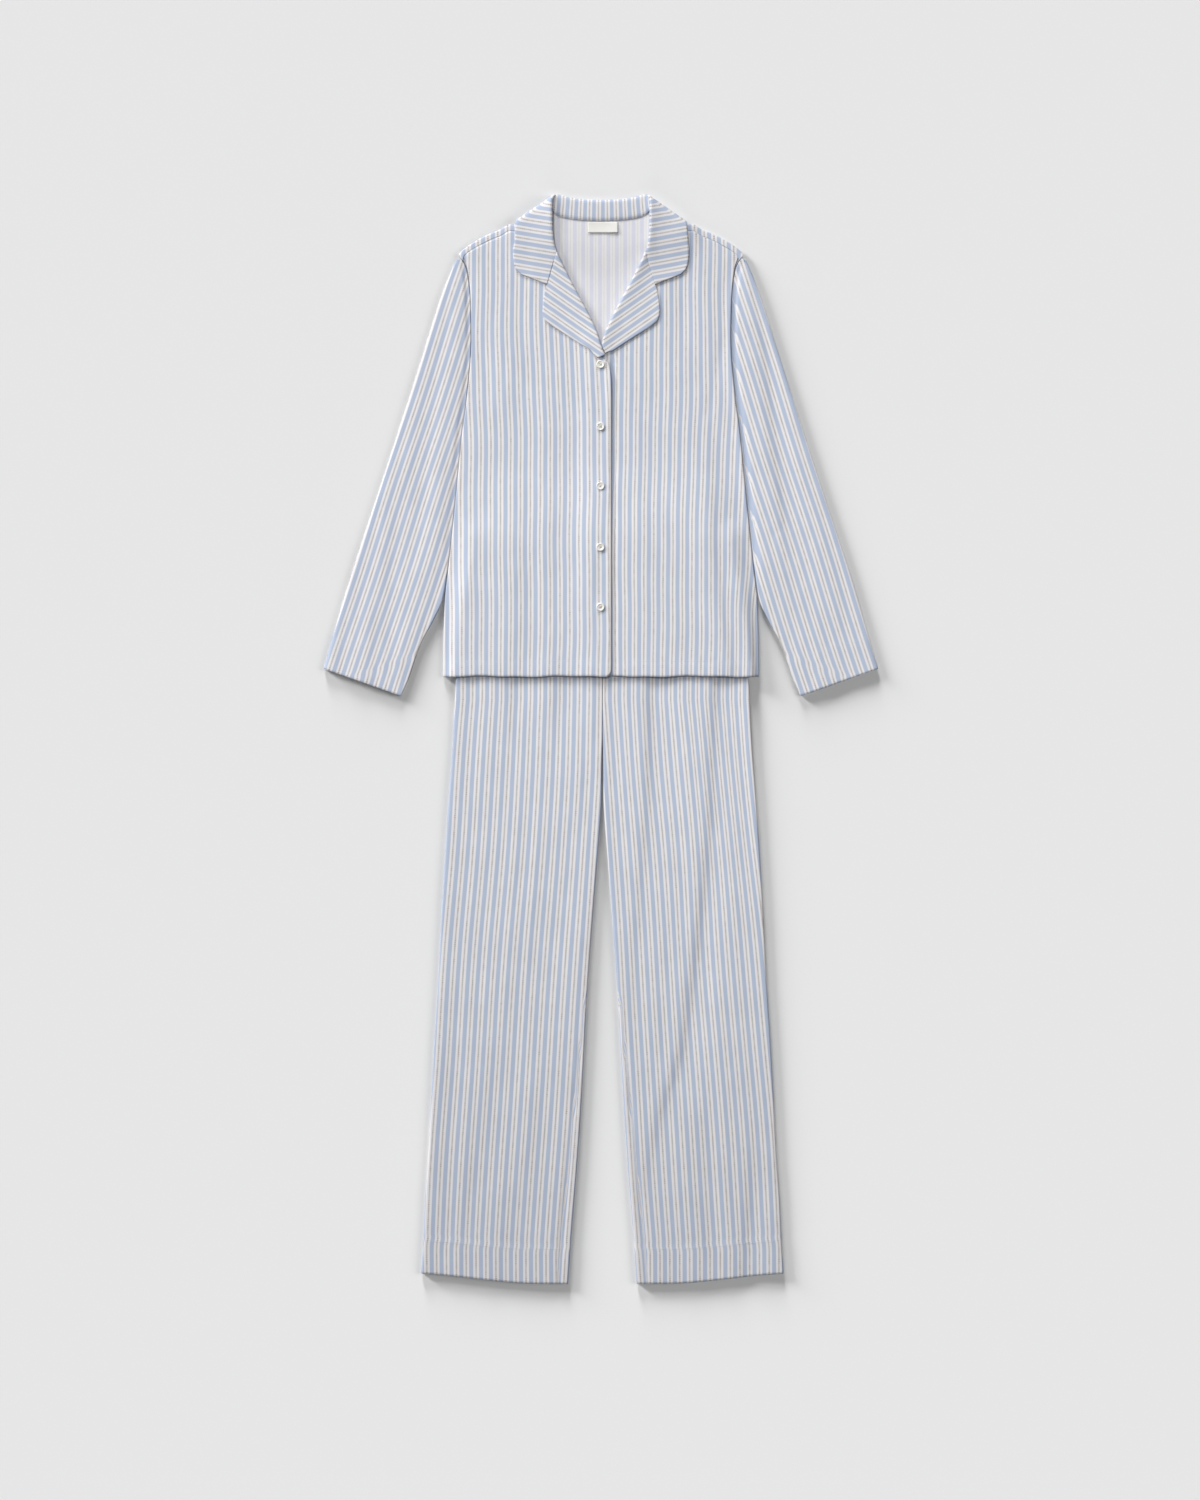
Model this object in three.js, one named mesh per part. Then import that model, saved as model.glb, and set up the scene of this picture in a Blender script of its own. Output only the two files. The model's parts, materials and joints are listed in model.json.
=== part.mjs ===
// A striped pyjama set laid flat: a buttoned top with a notched collar over straight trousers.
// Millimetres. +X is the wearer's left, +Y runs from the trouser hems to the collar, +Z is up.
// The set lies on the plane Z = 0. Half tables give the distance from the middle line, so one
// table serves both sides of the garment. Panels are cloth walls built round a middle surface.
import * as THREE from "three";

const CLOTH = 1.2; // one ply of the flannel, with its nap
const TWO_PLY = 2.0; // collar and lapels: two plies, sewn and pressed
const SEAM = 0.3; // clearance between two pieces that are sewn together
const SHOULDER_SEAM = 0.6; // the same at the shoulder, where the two edges' columns differ
const LIE = 0.4; // clearance between plies that lie on each other
const LOFT = 2.4; // air between the front and the back of the garment
const TROUSERS_GAP = 0.7; // clearance between the trousers and the top's back over them
const COLLAR_GAP = 0.9; // clearance between the collar's fall and the top's back over it
const LAYER = CLOTH + LOFT; // from the middle of a back panel to the middle of its front
const ON_TROUSERS = CLOTH + LAYER + TROUSERS_GAP; // the lift that clears the trousers
const ON_COLLAR = TWO_PLY + COLLAR_GAP; // the lift that clears the collar's fall
const ON_CLOTH = CLOTH / 2 + LIE + TWO_PLY / 2; // from a front's middle to that of a piece lying on it
const TURN = 3; // width in plan of a side seam's turned edge
const TURN_HOLD_AT_ARMHOLE = 0.45; // how far the edges turn along the armhole, of a whole turn
const SHOULDER_WRAP = 8.5; // how far the back comes forward over the shoulder
const ARM_GAP = 0.6; // clearance between the body's side and the sleeve beside it
const PLACKET_LAP = 14; // each front passes the middle line by this much
const PLACKET_LIFT = CLOTH + 0.6; // from the front below to the one that lies over it
const TROUSER_CENTRE = 2; // the trousers lie this far to the side of the top's middle line

const BUTTON = { diameter: 11.5, thickness: 2.4, rim: 1.9, dish: 0.7, x: -0.7 };
const BUTTON_HEIGHTS = [523, 436, 353, 267, 183.4];
const BACK_STAND_LEVEL = 4.6; // the collar stand's middle beside the roll, over its fall
const FALL_LEVEL = TWO_PLY / 2; // the middle of the collar's fall, on the surface
const ROLL_ROUND = 1.7; // half the height between the two plies beside a roll
const LABEL = { width: 43, height: 14, wall: 0.5, x: 3, y: 709 };
const WAISTBAND = { low: 235, high: 270, wall: 1.5 };
const CENTRE_SHIFT_Y = 0.15; // puts the origin under the middle of the whole set

// The top's side: half-width at each height, from the hem up the side seam and the armhole.
const BODY_SIDE = [
  { y: 87, x: 221 },
  { y: 138, x: 220.5 },
  { y: 201, x: 218 },
  { y: 236, x: 214 },
  { y: 292, x: 208 },
  { y: 362, x: 201 },
  { y: 432, x: 194 },
  { y: 488, x: 186.5 },
  { y: 558, x: 181.5 },
  { y: 614, x: 182.5 },
  { y: 653, x: 187 },
  { y: 666, x: 192 },
  { y: 675.5, x: 199 },
];
const WIDEST_Y = BODY_SIDE[BODY_SIDE.length - 1].y;

const BACK_ROW_HEIGHTS = [87, 150, 210, 274, 293, 312, 400, 490, 575, 625];
const BACK_UPPER_STEPS = [25, 16, 8, 0]; // rows up to the collar's fall, measured down from its edge
const BACK_COLUMNS = [0, 27, 50, 69.5, 76.5, 98, 120, 137, 160]; // where the sides are widest

// The back's upper edge: the neck seam, then the fold of the shoulder.
const BACK_TOP = [
  { x: 0, y: 724.5 },
  { x: 24, y: 725.8 },
  { x: 48, y: 729.6 },
  { x: 66, y: 735 },
  { x: 74.5, y: 741.5 },
  { x: 95, y: 730.5 },
  { x: 112, y: 721.8 },
  { x: 120, y: 718.6 },
  { x: 127, y: 719.2 },
  { x: 140, y: 712.5 },
  { x: 154, y: 707 },
  { x: 168, y: 700 },
  { x: 182, y: 692 },
  { x: 193, y: 683.5 },
  { x: 199, y: 677 },
];

// Rows of a front, from the hem up: its inner edge (placket, roll line, neck) and its side.
const FRONT_ROWS = [
  { innerX: -14, innerY: 87, sideY: 87 },
  { innerX: -14, innerY: 145, sideY: 140 },
  { innerX: -14, innerY: 210, sideY: 201 },
  { innerX: -14, innerY: 274, sideY: 262 },
  { innerX: -14, innerY: 312, sideY: 298 },
  { innerX: -14, innerY: 375, sideY: 356 },
  { innerX: -14, innerY: 440, sideY: 416 },
  { innerX: -14, innerY: 492, sideY: 465 },
  { innerX: -12.6, innerY: 514, sideY: 487 },
  { innerX: -8.8, innerY: 527.5, sideY: 503 },
  { innerX: -1, innerY: 534, sideY: 514 },
  { innerX: 8.6, innerY: 565, sideY: 541 },
  { innerX: 24.8, innerY: 600, sideY: 568 },
  { innerX: 51.2, innerY: 650, sideY: 605 },
  { innerX: 66, innerY: 680, sideY: 630 },
  { innerX: 70.5, innerY: 696.5, sideY: 645 },
  { innerX: 75, innerY: 714, sideY: 657 },
  { innerX: 76, innerY: 731, sideY: 667.3 },
];

const FRONT_SHARES = [0, 0.07, 0.14, 0.21, 0.28, 0.42, 0.56, 0.78, 1]; // columns across a front
const SIDE_INSETS = [36, 22, 12, 5, 0]; // more columns near a side, measured from its turned edge

// Rows of a sleeve, from the cuff up, by the height of its inner and outer edges.
const SLEEVE_ROWS = [
  { innerY: 59.5, outerY: 98 },
  { innerY: 105, outerY: 138 },
  { innerY: 150, outerY: 180 },
  { innerY: 194, outerY: 224 },
  { innerY: 245, outerY: 274 },
  { innerY: 310, outerY: 334 },
  { innerY: 380, outerY: 396 },
  { innerY: 450, outerY: 460 },
  { innerY: 515, outerY: 522 },
  { innerY: 575, outerY: 580 },
  { innerY: 625, outerY: 627 },
  { innerY: 655, outerY: 652 },
  { innerY: 671.5, outerY: 668 },
];
const SLEEVE_INNER = [
  { y: 59.5, x: 279.5 },
  { y: 82, x: 269.5 },
  { y: 110, x: 260 },
  { y: 138, x: 249 },
  { y: 166, x: 234 },
  { y: 194, x: 221.5 },
  { y: 236, x: 214.4 },
];
const SLEEVE_OUTER = [
  { y: 98, x: 388 },
  { y: 138, x: 376.6 },
  { y: 222, x: 352 },
  { y: 334, x: 315 },
  { y: 446, x: 278.6 },
  { y: 558, x: 243 },
  { y: 614, x: 225.4 },
  { y: 645, x: 213.5 },
  { y: 668, x: 203.5 },
];

// Cross-lines of the collar, from its notch end round to the middle of the back: where the neck
// seam, the roll and the outer edge lie, how far it has turned over the shoulder (in degrees)
// and how high the roll puffs over what the fall lies on. Near the notch the seam is the edge.
const COLLAR_ROWS = [
  { seamX: 76, seamY: 635.5, rollX: 76, rollY: 635.5, edgeX: 111, edgeY: 649.3, turn: 0, puff: 0 },
  { seamX: 72.2, seamY: 648, rollX: 72.2, rollY: 648, edgeX: 118, edgeY: 656, turn: 0, puff: 0.3 },
  { seamX: 67.6, seamY: 664, rollX: 67.6, rollY: 664, edgeX: 121.7, edgeY: 668, turn: 0, puff: 0.8 },
  { seamX: 62.8, seamY: 680, rollX: 62.8, rollY: 680, edgeX: 122.5, edgeY: 682, turn: 0, puff: 1.6 },
  { seamX: 69.2, seamY: 696.8, rollX: 66.8, rollY: 697, edgeX: 122, edgeY: 695, turn: 0, puff: 3 },
  { seamX: 73.6, seamY: 714, rollX: 68.4, rollY: 716, edgeX: 121.2, edgeY: 706, turn: 0, puff: 4.2 },
  { seamX: 73.6, seamY: 729.4, rollX: 68.6, rollY: 735, edgeX: 120.4, edgeY: 714, turn: 0, puff: 5 },
  { seamX: 73, seamY: 738.6, rollX: 68.4, rollY: 749, edgeX: 119.8, edgeY: 718.6, turn: 20, puff: 5 },
  { seamX: 71.4, seamY: 742, rollX: 67.2, rollY: 756.5, edgeX: 119.2, edgeY: 721.6, turn: 50, puff: 4.6 },
  { seamX: 70, seamY: 741.5, rollX: 65.2, rollY: 759.2, edgeX: 118.4, edgeY: 722.4, turn: 90, puff: 3.6 },
  { seamX: 66.5, seamY: 738.5, rollX: 62.6, rollY: 760.2, edgeX: 117, edgeY: 721.8, turn: 142, puff: 2 },
  { seamX: 61, seamY: 734.6, rollX: 57, rollY: 759.4, edgeX: 111.6, edgeY: 717.6, turn: 168, puff: 1.2 },
  { seamX: 48, seamY: 730, rollX: 45, rollY: 756, edgeX: 85, edgeY: 706, turn: 180, puff: 1 },
  { seamX: 24, seamY: 726.2, rollX: 23, rollY: 753.2, edgeX: 43, edgeY: 699.5, turn: 180, puff: 0.9 },
  { seamX: 0, seamY: 724.9, rollX: 0, rollY: 752.5, edgeX: 0, edgeY: 697, turn: 180, puff: 0.9 },
];
// Steps along a cross-line: arc length from the roll's crest, as a share of the ply it is on.
const COLLAR_STEPS = [-1, -0.55, -0.22, -0.06, 0, 0.03, 0.1, 0.22, 0.45, 0.7, 0.9, 1];

// Cross-lines of a lapel, from the seam with the collar down to where the placket starts.
const LAPEL_ROWS = [
  { rollX: 62, rollY: 679.2, edgeX: 75.1, edgeY: 635.1 },
  { rollX: 56, rollY: 666, edgeX: 78.2, edgeY: 626 },
  { rollX: 48, rollY: 650, edgeX: 80.6, edgeY: 612 },
  { rollX: 40, rollY: 634.5, edgeX: 81.6, edgeY: 599 },
  { rollX: 31, rollY: 617.5, edgeX: 79, edgeY: 586.5 },
  { rollX: 21.5, rollY: 600, edgeX: 69, edgeY: 577 },
  { rollX: 13.5, rollY: 584, edgeX: 50, edgeY: 564.8 },
  { rollX: 6.5, rollY: 568.5, edgeX: 30, edgeY: 552.2 },
  { rollX: 2.4, rollY: 555, edgeX: 14, edgeY: 542.5 },
];
const RIGHT_LAPEL_END = [
  { rollX: -1.5, rollY: 543.5, edgeX: 6.5, edgeY: 536.5 },
  { rollX: -5, rollY: 535, edgeX: 1.5, edgeY: 530.5 },
];
const LEFT_LAPEL_END = [{ rollX: 1.9, rollY: 550.5, edgeX: 9, edgeY: 540.5 }];
const LAPEL_UNDER = [-3, -1.3, 0, 1.3, 3.4]; // arc length across the roll of a lapel
const LAPEL_SHARES = [0.25, 0.55, 0.85, 1]; // and then shares of its width

// The trousers: half-width from the waist to the hem, and the edge between the legs.
const LEG_SIDE = [
  { y: -745.5, x: 253.5 },
  { y: -702, x: 250.5 },
  { y: -646, x: 248 },
  { y: -590, x: 244 },
  { y: -506, x: 239.5 },
  { y: -422, x: 235 },
  { y: -338, x: 229.5 },
  { y: -254, x: 225.5 },
  { y: -170, x: 220.5 },
  { y: -86, x: 215 },
  { y: -2, x: 209 },
  { y: 82, x: 205 },
  { y: 120, x: 201 },
  { y: 200, x: 188 },
  { y: 235, x: 179 },
  { y: 270, x: 171 },
];
const LEG_FRONT_ROWS = [
  { innerX: 48, innerY: -761.5, sideY: -745 },
  { innerX: 44, innerY: -702, sideY: -690 },
  { innerX: 35, innerY: -590, sideY: -584 },
  { innerX: 28, innerY: -478, sideY: -474 },
  { innerX: 22, innerY: -366, sideY: -362 },
  { innerX: 16.5, innerY: -282, sideY: -280 },
  { innerX: 9.8, innerY: -198, sideY: -198 },
  { innerX: 5, innerY: -112, sideY: -112 },
  { innerX: 2.2, innerY: -40, sideY: -40 },
  { innerX: 0.2, innerY: 2, sideY: 0 },
  { innerX: 0.2, innerY: 60, sideY: 60 },
  { innerX: 0.2, innerY: 120, sideY: 120 },
  { innerX: 0.2, innerY: 180, sideY: 180 },
  { innerX: 0.2, innerY: 234.6, sideY: 234.6 },
];
const LEG_BACK_ROWS = [
  { innerX: 48, innerY: -761.5, sideY: -745 },
  { innerX: 44, innerY: -702, sideY: -690 },
  { innerX: 31, innerY: -534, sideY: -530 },
  { innerX: 22, innerY: -366, sideY: -362 },
  { innerX: 13.3, innerY: -254, sideY: -250 },
  { innerX: 6.3, innerY: -142, sideY: -140 },
  { innerX: 4.2, innerY: -104, sideY: -100 },
  { innerX: 0.2, innerY: -94, sideY: -90 },
  { innerX: 0.2, innerY: 20, sideY: 20 },
  { innerX: 0.2, innerY: 120, sideY: 120 },
  { innerX: 0.2, innerY: 234.6, sideY: 234.6 },
];
const LEG_SHARES = [0, 0.1, 0.2, 0.31, 0.42, 0.53, 0.64, 0.75, 0.87, 1]; // columns across a front leg
const LEG_BACK_SHARES = [0, 0.3, 0.65, 1]; // and across a back leg
const CROTCH_Y = -9; // the fronts part here; below it the inseam's edges turn towards each other

// Soft troughs in the fronts and legs: a run from one point to another, its width and depth.
// side is -1 for the wearer's right and +1 for the left, and x is measured from the middle.
const TOP_FOLDS = [
  { side: 1, fromX: 138, fromY: 500, toX: 166, toY: 120, width: 17, depth: 1.3 },
  { side: 1, fromX: 78, fromY: 470, toX: 84, toY: 150, width: 15, depth: 0.8 },
  { side: -1, fromX: 126, fromY: 470, toX: 128, toY: 100, width: 16, depth: 1.1 },
  { side: -1, fromX: 62, fromY: 420, toX: 64, toY: 160, width: 14, depth: 0.7 },
  { side: -1, fromX: 158, fromY: 640, toX: 166, toY: 430, width: 12, depth: 0.9 },
  { side: 1, fromX: 150, fromY: 650, toX: 154, toY: 520, width: 12, depth: 0.8 },
];
const SLEEVE_FOLDS = [
  { side: 1, fromX: 208, fromY: 640, toX: 238, toY: 500, width: 9, depth: 1.2 },
  { side: 1, fromX: 238, fromY: 500, toX: 266, toY: 200, width: 12, depth: 1.3 },
  { side: 1, fromX: 318, fromY: 300, toX: 330, toY: 150, width: 12, depth: 0.7 },
  { side: -1, fromX: 232, fromY: 560, toX: 268, toY: 400, width: 12, depth: 1 },
  { side: -1, fromX: 268, fromY: 400, toX: 298, toY: 140, width: 12, depth: 1.2 },
];
const LEG_FOLDS = [
  { side: 1, fromX: 66.6, fromY: 200, toX: 64, toY: -120, width: 12, depth: 1.4 },
  { side: 1, fromX: 64, fromY: -120, toX: 42, toY: -470, width: 12, depth: 1.2 },
  { side: 1, fromX: 158, fromY: 190, toX: 148, toY: -170, width: 14, depth: 1.8 },
  { side: 1, fromX: 148, fromY: -170, toX: 118, toY: -410, width: 14, depth: 1.9 },
  { side: 1, fromX: 118, fromY: -410, toX: 68, toY: -590, width: 14, depth: 1.8 },
  { side: 1, fromX: 212, fromY: -560, toX: 197, toY: -755, width: 13, depth: 1.1 },
  { side: -1, fromX: 129, fromY: 190, toX: 129, toY: -60, width: 12, depth: 1.3 },
  { side: -1, fromX: 62, fromY: 190, toX: 78, toY: -200, width: 13, depth: 1 },
  { side: -1, fromX: 120, fromY: -330, toX: 190, toY: -560, width: 22, depth: 0.7 },
];

// The value in one column of a table at a height or place in another, along straight runs.
function read(table, key, at, value) {
  const last = table.length - 1;
  let i = 0;
  while (i < last - 1 && at > table[i + 1][key]) i += 1;
  const share = (at - table[i][key]) / (table[i + 1][key] - table[i][key]);
  const kept = THREE.MathUtils.clamp(share, 0, 1);
  return THREE.MathUtils.lerp(table[i][value], table[i + 1][value], kept);
}

const smooth = THREE.MathUtils.smoothstep;
const lerp = THREE.MathUtils.lerp;
const bodySide = (y) => read(BODY_SIDE, "y", y, "x");
const legSide = (y) => read(LEG_SIDE, "y", y, "x");
const backTop = (x) => read(BACK_TOP, "x", Math.abs(x), "y");

// How far the troughs of a table lower the cloth at a place.
function troughs(folds, side, x, y) {
  let drop = 0;
  for (const fold of folds) {
    if (fold.side !== side) continue;
    const run = new THREE.Vector2(fold.toX - fold.fromX, fold.toY - fold.fromY);
    const place = new THREE.Vector2(x - fold.fromX, y - fold.fromY);
    const share = place.dot(run) / run.lengthSq();
    const away = Math.abs(place.cross(run)) / run.length();
    const fade = smooth(share, -0.12, 0.12) * (1 - smooth(share, 0.88, 1.12));
    drop += fold.depth * fade * Math.exp(-((away / fold.width) ** 2));
  }
  return drop;
}

// The top's back rests on the surface, on the trousers at its hem and on the collar's fall at
// the neck. These give its lift over each of them, from 0 to 1.
function overTrousers(x, y) {
  const waist = 1 - smooth(y, 274, 312);
  const fromCentre = Math.abs(x - TROUSER_CENTRE);
  const rampFrom = legSide(y) + 3;
  return waist * (1 - smooth(fromCentre, rampFrom, Math.max(rampFrom + 9, bodySide(y) - 4)));
}

const HIDDEN_FALL = COLLAR_ROWS.filter((row) => row.turn > 150).reverse();
const fallEdge = (half) =>
  half < 112 ? read(HIDDEN_FALL, "edgeX", half, "edgeY") : lerp(717, 722, (half - 112) / 9);

function overCollar(x, y) {
  const half = Math.abs(x);
  const edge = fallEdge(half);
  return smooth(y, edge - 26, edge - 2) * (1 - smooth(half, 121, 146));
}

const backLevel = (x, y) =>
  CLOTH / 2 + ON_TROUSERS * overTrousers(x, y) + ON_COLLAR * overCollar(x, y);

// The middle of a front: over the back, lower where a trough runs, and for the wearer's right
// lifted over the other front along the placket. half is the distance from the middle line.
function frontLevel(side, half, y) {
  const slope = 0.8 * (1 - smooth(bodySide(y) - half, TURN, 18));
  const lap = side < 0 ? (1 - smooth(half, PLACKET_LAP + 2, 40)) * (1 - smooth(y, 550, 600)) : 0;
  const drop = troughs(TOP_FOLDS, side, half, y);
  return backLevel(side * half, y) + LAYER - slope - drop + PLACKET_LIFT * lap;
}

// How far a side seam's two edges turn to each other: wholly below the armhole, less along it.
const seamHold = (y) => lerp(1, TURN_HOLD_AT_ARMHOLE, smooth(y, 455, 500)) * (1 - smooth(y, 648, 672));

// At a free edge a wall's slope is its last step's, carried on by the change from the step before.
const END_SLOPE = 1.6;

// A closed cloth wall round a grid of points on its middle surface. Each row has the same
// number of points. Where ring is true, each row closes on itself.
function clothWall(rows, wall, ring = false) {
  const rowCount = rows.length;
  const columnCount = rows[0].length;
  const place = (r, c) => rows[r][ring ? (c + columnCount) % columnCount : c];
  const clampRow = (r) => THREE.MathUtils.clamp(r, 0, rowCount - 1);
  const clampColumn = (c) => (ring ? c : THREE.MathUtils.clamp(c, 0, columnCount - 1));
  const positions = [];
  for (const sign of [1, -1]) {
    for (let r = 0; r < rowCount; r += 1) {
      for (let c = 0; c < columnCount; c += 1) {
        const across = place(r, clampColumn(c + 1)).clone().sub(place(r, clampColumn(c - 1)));
        const along = place(clampRow(r + 1), c).clone().sub(place(clampRow(r - 1), c));
        if (!ring && (c === 0 || c === columnCount - 1) && columnCount > 2) {
          const inward = c === 0 ? 1 : -1;
          const next = place(r, c + 2 * inward).clone().sub(place(r, c + inward));
          across.multiplyScalar(END_SLOPE).addScaledVector(next, inward * (1 - END_SLOPE));
        }
        const normal = across.cross(along).normalize();
        const point = place(r, c).clone().addScaledVector(normal, (sign * wall) / 2);
        positions.push(point.x, point.y, point.z);
      }
    }
  }
  const under = rowCount * columnCount;
  const at = (r, c) => r * columnCount + (ring ? c % columnCount : c);
  const faces = [];
  const quad = (a, b, c, d) => faces.push(a, b, c, a, c, d);
  const columnSteps = ring ? columnCount : columnCount - 1;
  for (let r = 0; r < rowCount - 1; r += 1) {
    for (let c = 0; c < columnSteps; c += 1) {
      const corners = [at(r, c), at(r, c + 1), at(r + 1, c + 1), at(r + 1, c)];
      quad(...corners);
      quad(...corners.map((corner) => corner + under).reverse());
    }
  }
  for (let c = 0; c < columnSteps; c += 1) {
    quad(at(0, c + 1), at(0, c), at(0, c) + under, at(0, c + 1) + under);
    const top = rowCount - 1;
    quad(at(top, c), at(top, c + 1), at(top, c + 1) + under, at(top, c) + under);
  }
  if (!ring) {
    const end = columnCount - 1;
    for (let r = 0; r < rowCount - 1; r += 1) {
      quad(at(r, 0), at(r + 1, 0), at(r + 1, 0) + under, at(r, 0) + under);
      quad(at(r + 1, end), at(r, end), at(r, end) + under, at(r + 1, end) + under);
    }
  }
  const geometry = new THREE.BufferGeometry();
  geometry.setAttribute("position", new THREE.Float32BufferAttribute(positions, 3));
  geometry.setIndex(volume(positions, faces) < 0 ? faces.reverse() : faces);
  return geometry;
}

function volume(positions, faces) {
  const corner = (i) => new THREE.Vector3().fromArray(positions, faces[i] * 3);
  let sum = 0;
  for (let i = 0; i < faces.length; i += 3) {
    sum += corner(i).dot(corner(i + 1).cross(corner(i + 2)));
  }
  return sum / 6;
}

const flannel = new THREE.MeshStandardMaterial({ color: 0xced3df, roughness: 0.95, metalness: 0 });
const wrongSide = new THREE.MeshStandardMaterial({ color: 0xe2e0e3, roughness: 0.95, metalness: 0 });
const labelCloth = new THREE.MeshStandardMaterial({ color: 0xe9e6df, roughness: 0.8, metalness: 0 });
const buttonResin = new THREE.MeshStandardMaterial({ color: 0xf1eee6, roughness: 0.35, metalness: 0 });

const set = new THREE.Group();

function addPiece(name, geometry, material) {
  const mesh = new THREE.Mesh(geometry, material);
  mesh.name = name;
  set.add(mesh);
  return mesh;
}

// Points across a panel between two places in plan, for the given shares of the flat part. An
// edge with a turn ends in the curve of its seam; turned goes from 0 on the flat to 1 there.
const EDGE_RISE = [Math.PI / 4, Math.PI / 2];

function acrossPanel(from, to, shares, nearSide, turnFrom, turnTo) {
  const run = to.clone().sub(from);
  const length = run.length();
  const turn = Math.min(TURN, 0.3 * length);
  const start = turnFrom ? turn : 0;
  const end = length - (turnTo ? turn : 0);
  const distances = shares.map((share) => ({ distance: lerp(start, end - nearSide[0], share), turned: 0 }));
  for (const inset of nearSide.slice(1)) distances.push({ distance: end - inset, turned: 0 });
  const inset = (angle) => turn - (turn - CLOTH / 2) * Math.sin(angle);
  for (const angle of EDGE_RISE) {
    const turned = 1 - Math.cos(angle);
    if (turnFrom) distances.unshift({ distance: inset(angle), turned, atStart: true });
    if (turnTo) distances.push({ distance: length - inset(angle), turned });
  }
  return distances.map(({ distance, turned, atStart }) => {
    const place = from.clone().addScaledVector(run, distance / length);
    return { x: place.x, y: place.y, turned, atStart };
  });
}

// One point of a panel: its level, turned at a seam towards the middle of the garment.
function turnedPoint(side, place, level, partner, hold) {
  const seam = (level + partner) / 2 + (level > partner ? SEAM / 2 : -SEAM / 2);
  const z = lerp(level, seam, place.turned * hold);
  return new THREE.Vector3(side * place.x, place.y, z);
}

// Points across half of the back at one height.
const backLine = (y) =>
  acrossPanel(
    new THREE.Vector2(0, y),
    new THREE.Vector2(bodySide(y), y),
    BACK_COLUMNS.map((column) => column / BACK_COLUMNS[BACK_COLUMNS.length - 1]),
    SIDE_INSETS,
    false,
    true,
  );

// For each column of the back: the fold of the shoulder, or the neck seam, at its top, and the
// edge that it ends at on the front.
function shoulderLines() {
  return backLine(WIDEST_Y).map((place, i) => {
    const fold = backTop(place.x) - CLOTH / 2;
    const y = fold - SHOULDER_WRAP;
    return { x: place.x, fold, edge: { x: backLine(Math.min(y, WIDEST_Y))[i].x, y } };
  });
}

// The top's back: rows from the hem to the neck seam and over the fold of the shoulders.
function topBack() {
  const foldRadius = LAYER / 2;
  const bend = Math.PI / 4;
  const drawIn = foldRadius * (1 - Math.sin(bend));
  const rise = foldRadius * (1 - Math.cos(bend));
  // Distance in from the shoulder's fold and rise from the back's level, then the same for the
  // neck, where the cloth ends flat at its seam.
  const finish = [
    { fold: 2.4, rise: 0, neck: 7.5 },
    { fold: drawIn, rise, neck: 5.5 },
    { fold: 0, rise: foldRadius, neck: 3.8 },
    { fold: drawIn, rise: LAYER - rise, neck: 2.4 },
    { fold: 2.4, rise: LAYER, neck: 1.2 },
    { fold: SHOULDER_WRAP, rise: LAYER, neck: 0 },
  ];
  const bothSides = (points) => [
    ...points.slice(1).reverse().map((make) => make(-1)),
    ...points.map((make) => make(1)),
  ];
  const point = (place, y, lift = 0) => (side) => {
    const level = backLevel(side * place.x, y);
    const turned = { ...place, y };
    const flat = turnedPoint(side, turned, level, frontLevel(side, place.x, y), seamHold(y));
    return flat.setZ(flat.z + lift);
  };
  const rows = BACK_ROW_HEIGHTS.map((y) => bothSides(backLine(y).map((place) => point(place, y))));
  const sideline = (i, y) => backLine(Math.min(y, WIDEST_Y))[i];
  for (const step of BACK_UPPER_STEPS) {
    const line = shoulderLines().map(({ x, fold }, i) => {
      const y = Math.min(fallEdge(x) - 2, fold - finish[0].fold - 4) - step;
      return point(sideline(i, y), y);
    });
    rows.push(bothSides(line));
  }
  for (const step of finish) {
    const line = shoulderLines().map(({ x, fold }, i) => {
      const wrapped = smooth(x, 70, 76);
      const y = fold - lerp(step.neck, step.fold, wrapped);
      return point({ x: sideline(i, y).x, turned: 0 }, y, step.rise * wrapped);
    });
    rows.push(bothSides(line));
  }
  return clothWall(rows, CLOTH);
}

// A front of the top, from its placket, roll line and neck edge out to the side seam.
function topFront(side) {
  const last = FRONT_ROWS.length - 1;
  const { innerX, innerY, sideY } = FRONT_ROWS[last];
  const topRow = [
    { x: innerX, y: innerY },
    { x: bodySide(sideY), y: sideY },
  ];
  const seam = shoulderLines()
    .map(({ edge }) => ({ x: edge.x, y: edge.y - SHOULDER_SEAM }))
    .filter(({ x }) => x > 75);
  const rows = FRONT_ROWS.map((row, i) => {
    const from = new THREE.Vector2(row.innerX, row.innerY);
    const to = new THREE.Vector2(bodySide(row.sideY), row.sideY);
    const line = acrossPanel(from, to, FRONT_SHARES, SIDE_INSETS, false, true);
    return line.map((place) => {
      const straight = read(topRow, "x", place.x, "y");
      const y = place.y + (read(seam, "x", place.x, "y") - straight) * (i / last) ** 8;
      const level = frontLevel(side, place.x, y);
      const partner = backLevel(side * place.x, y);
      return turnedPoint(side, { ...place, y }, level, partner, seamHold(y));
    });
  });
  return clothWall(rows, CLOTH);
}

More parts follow.
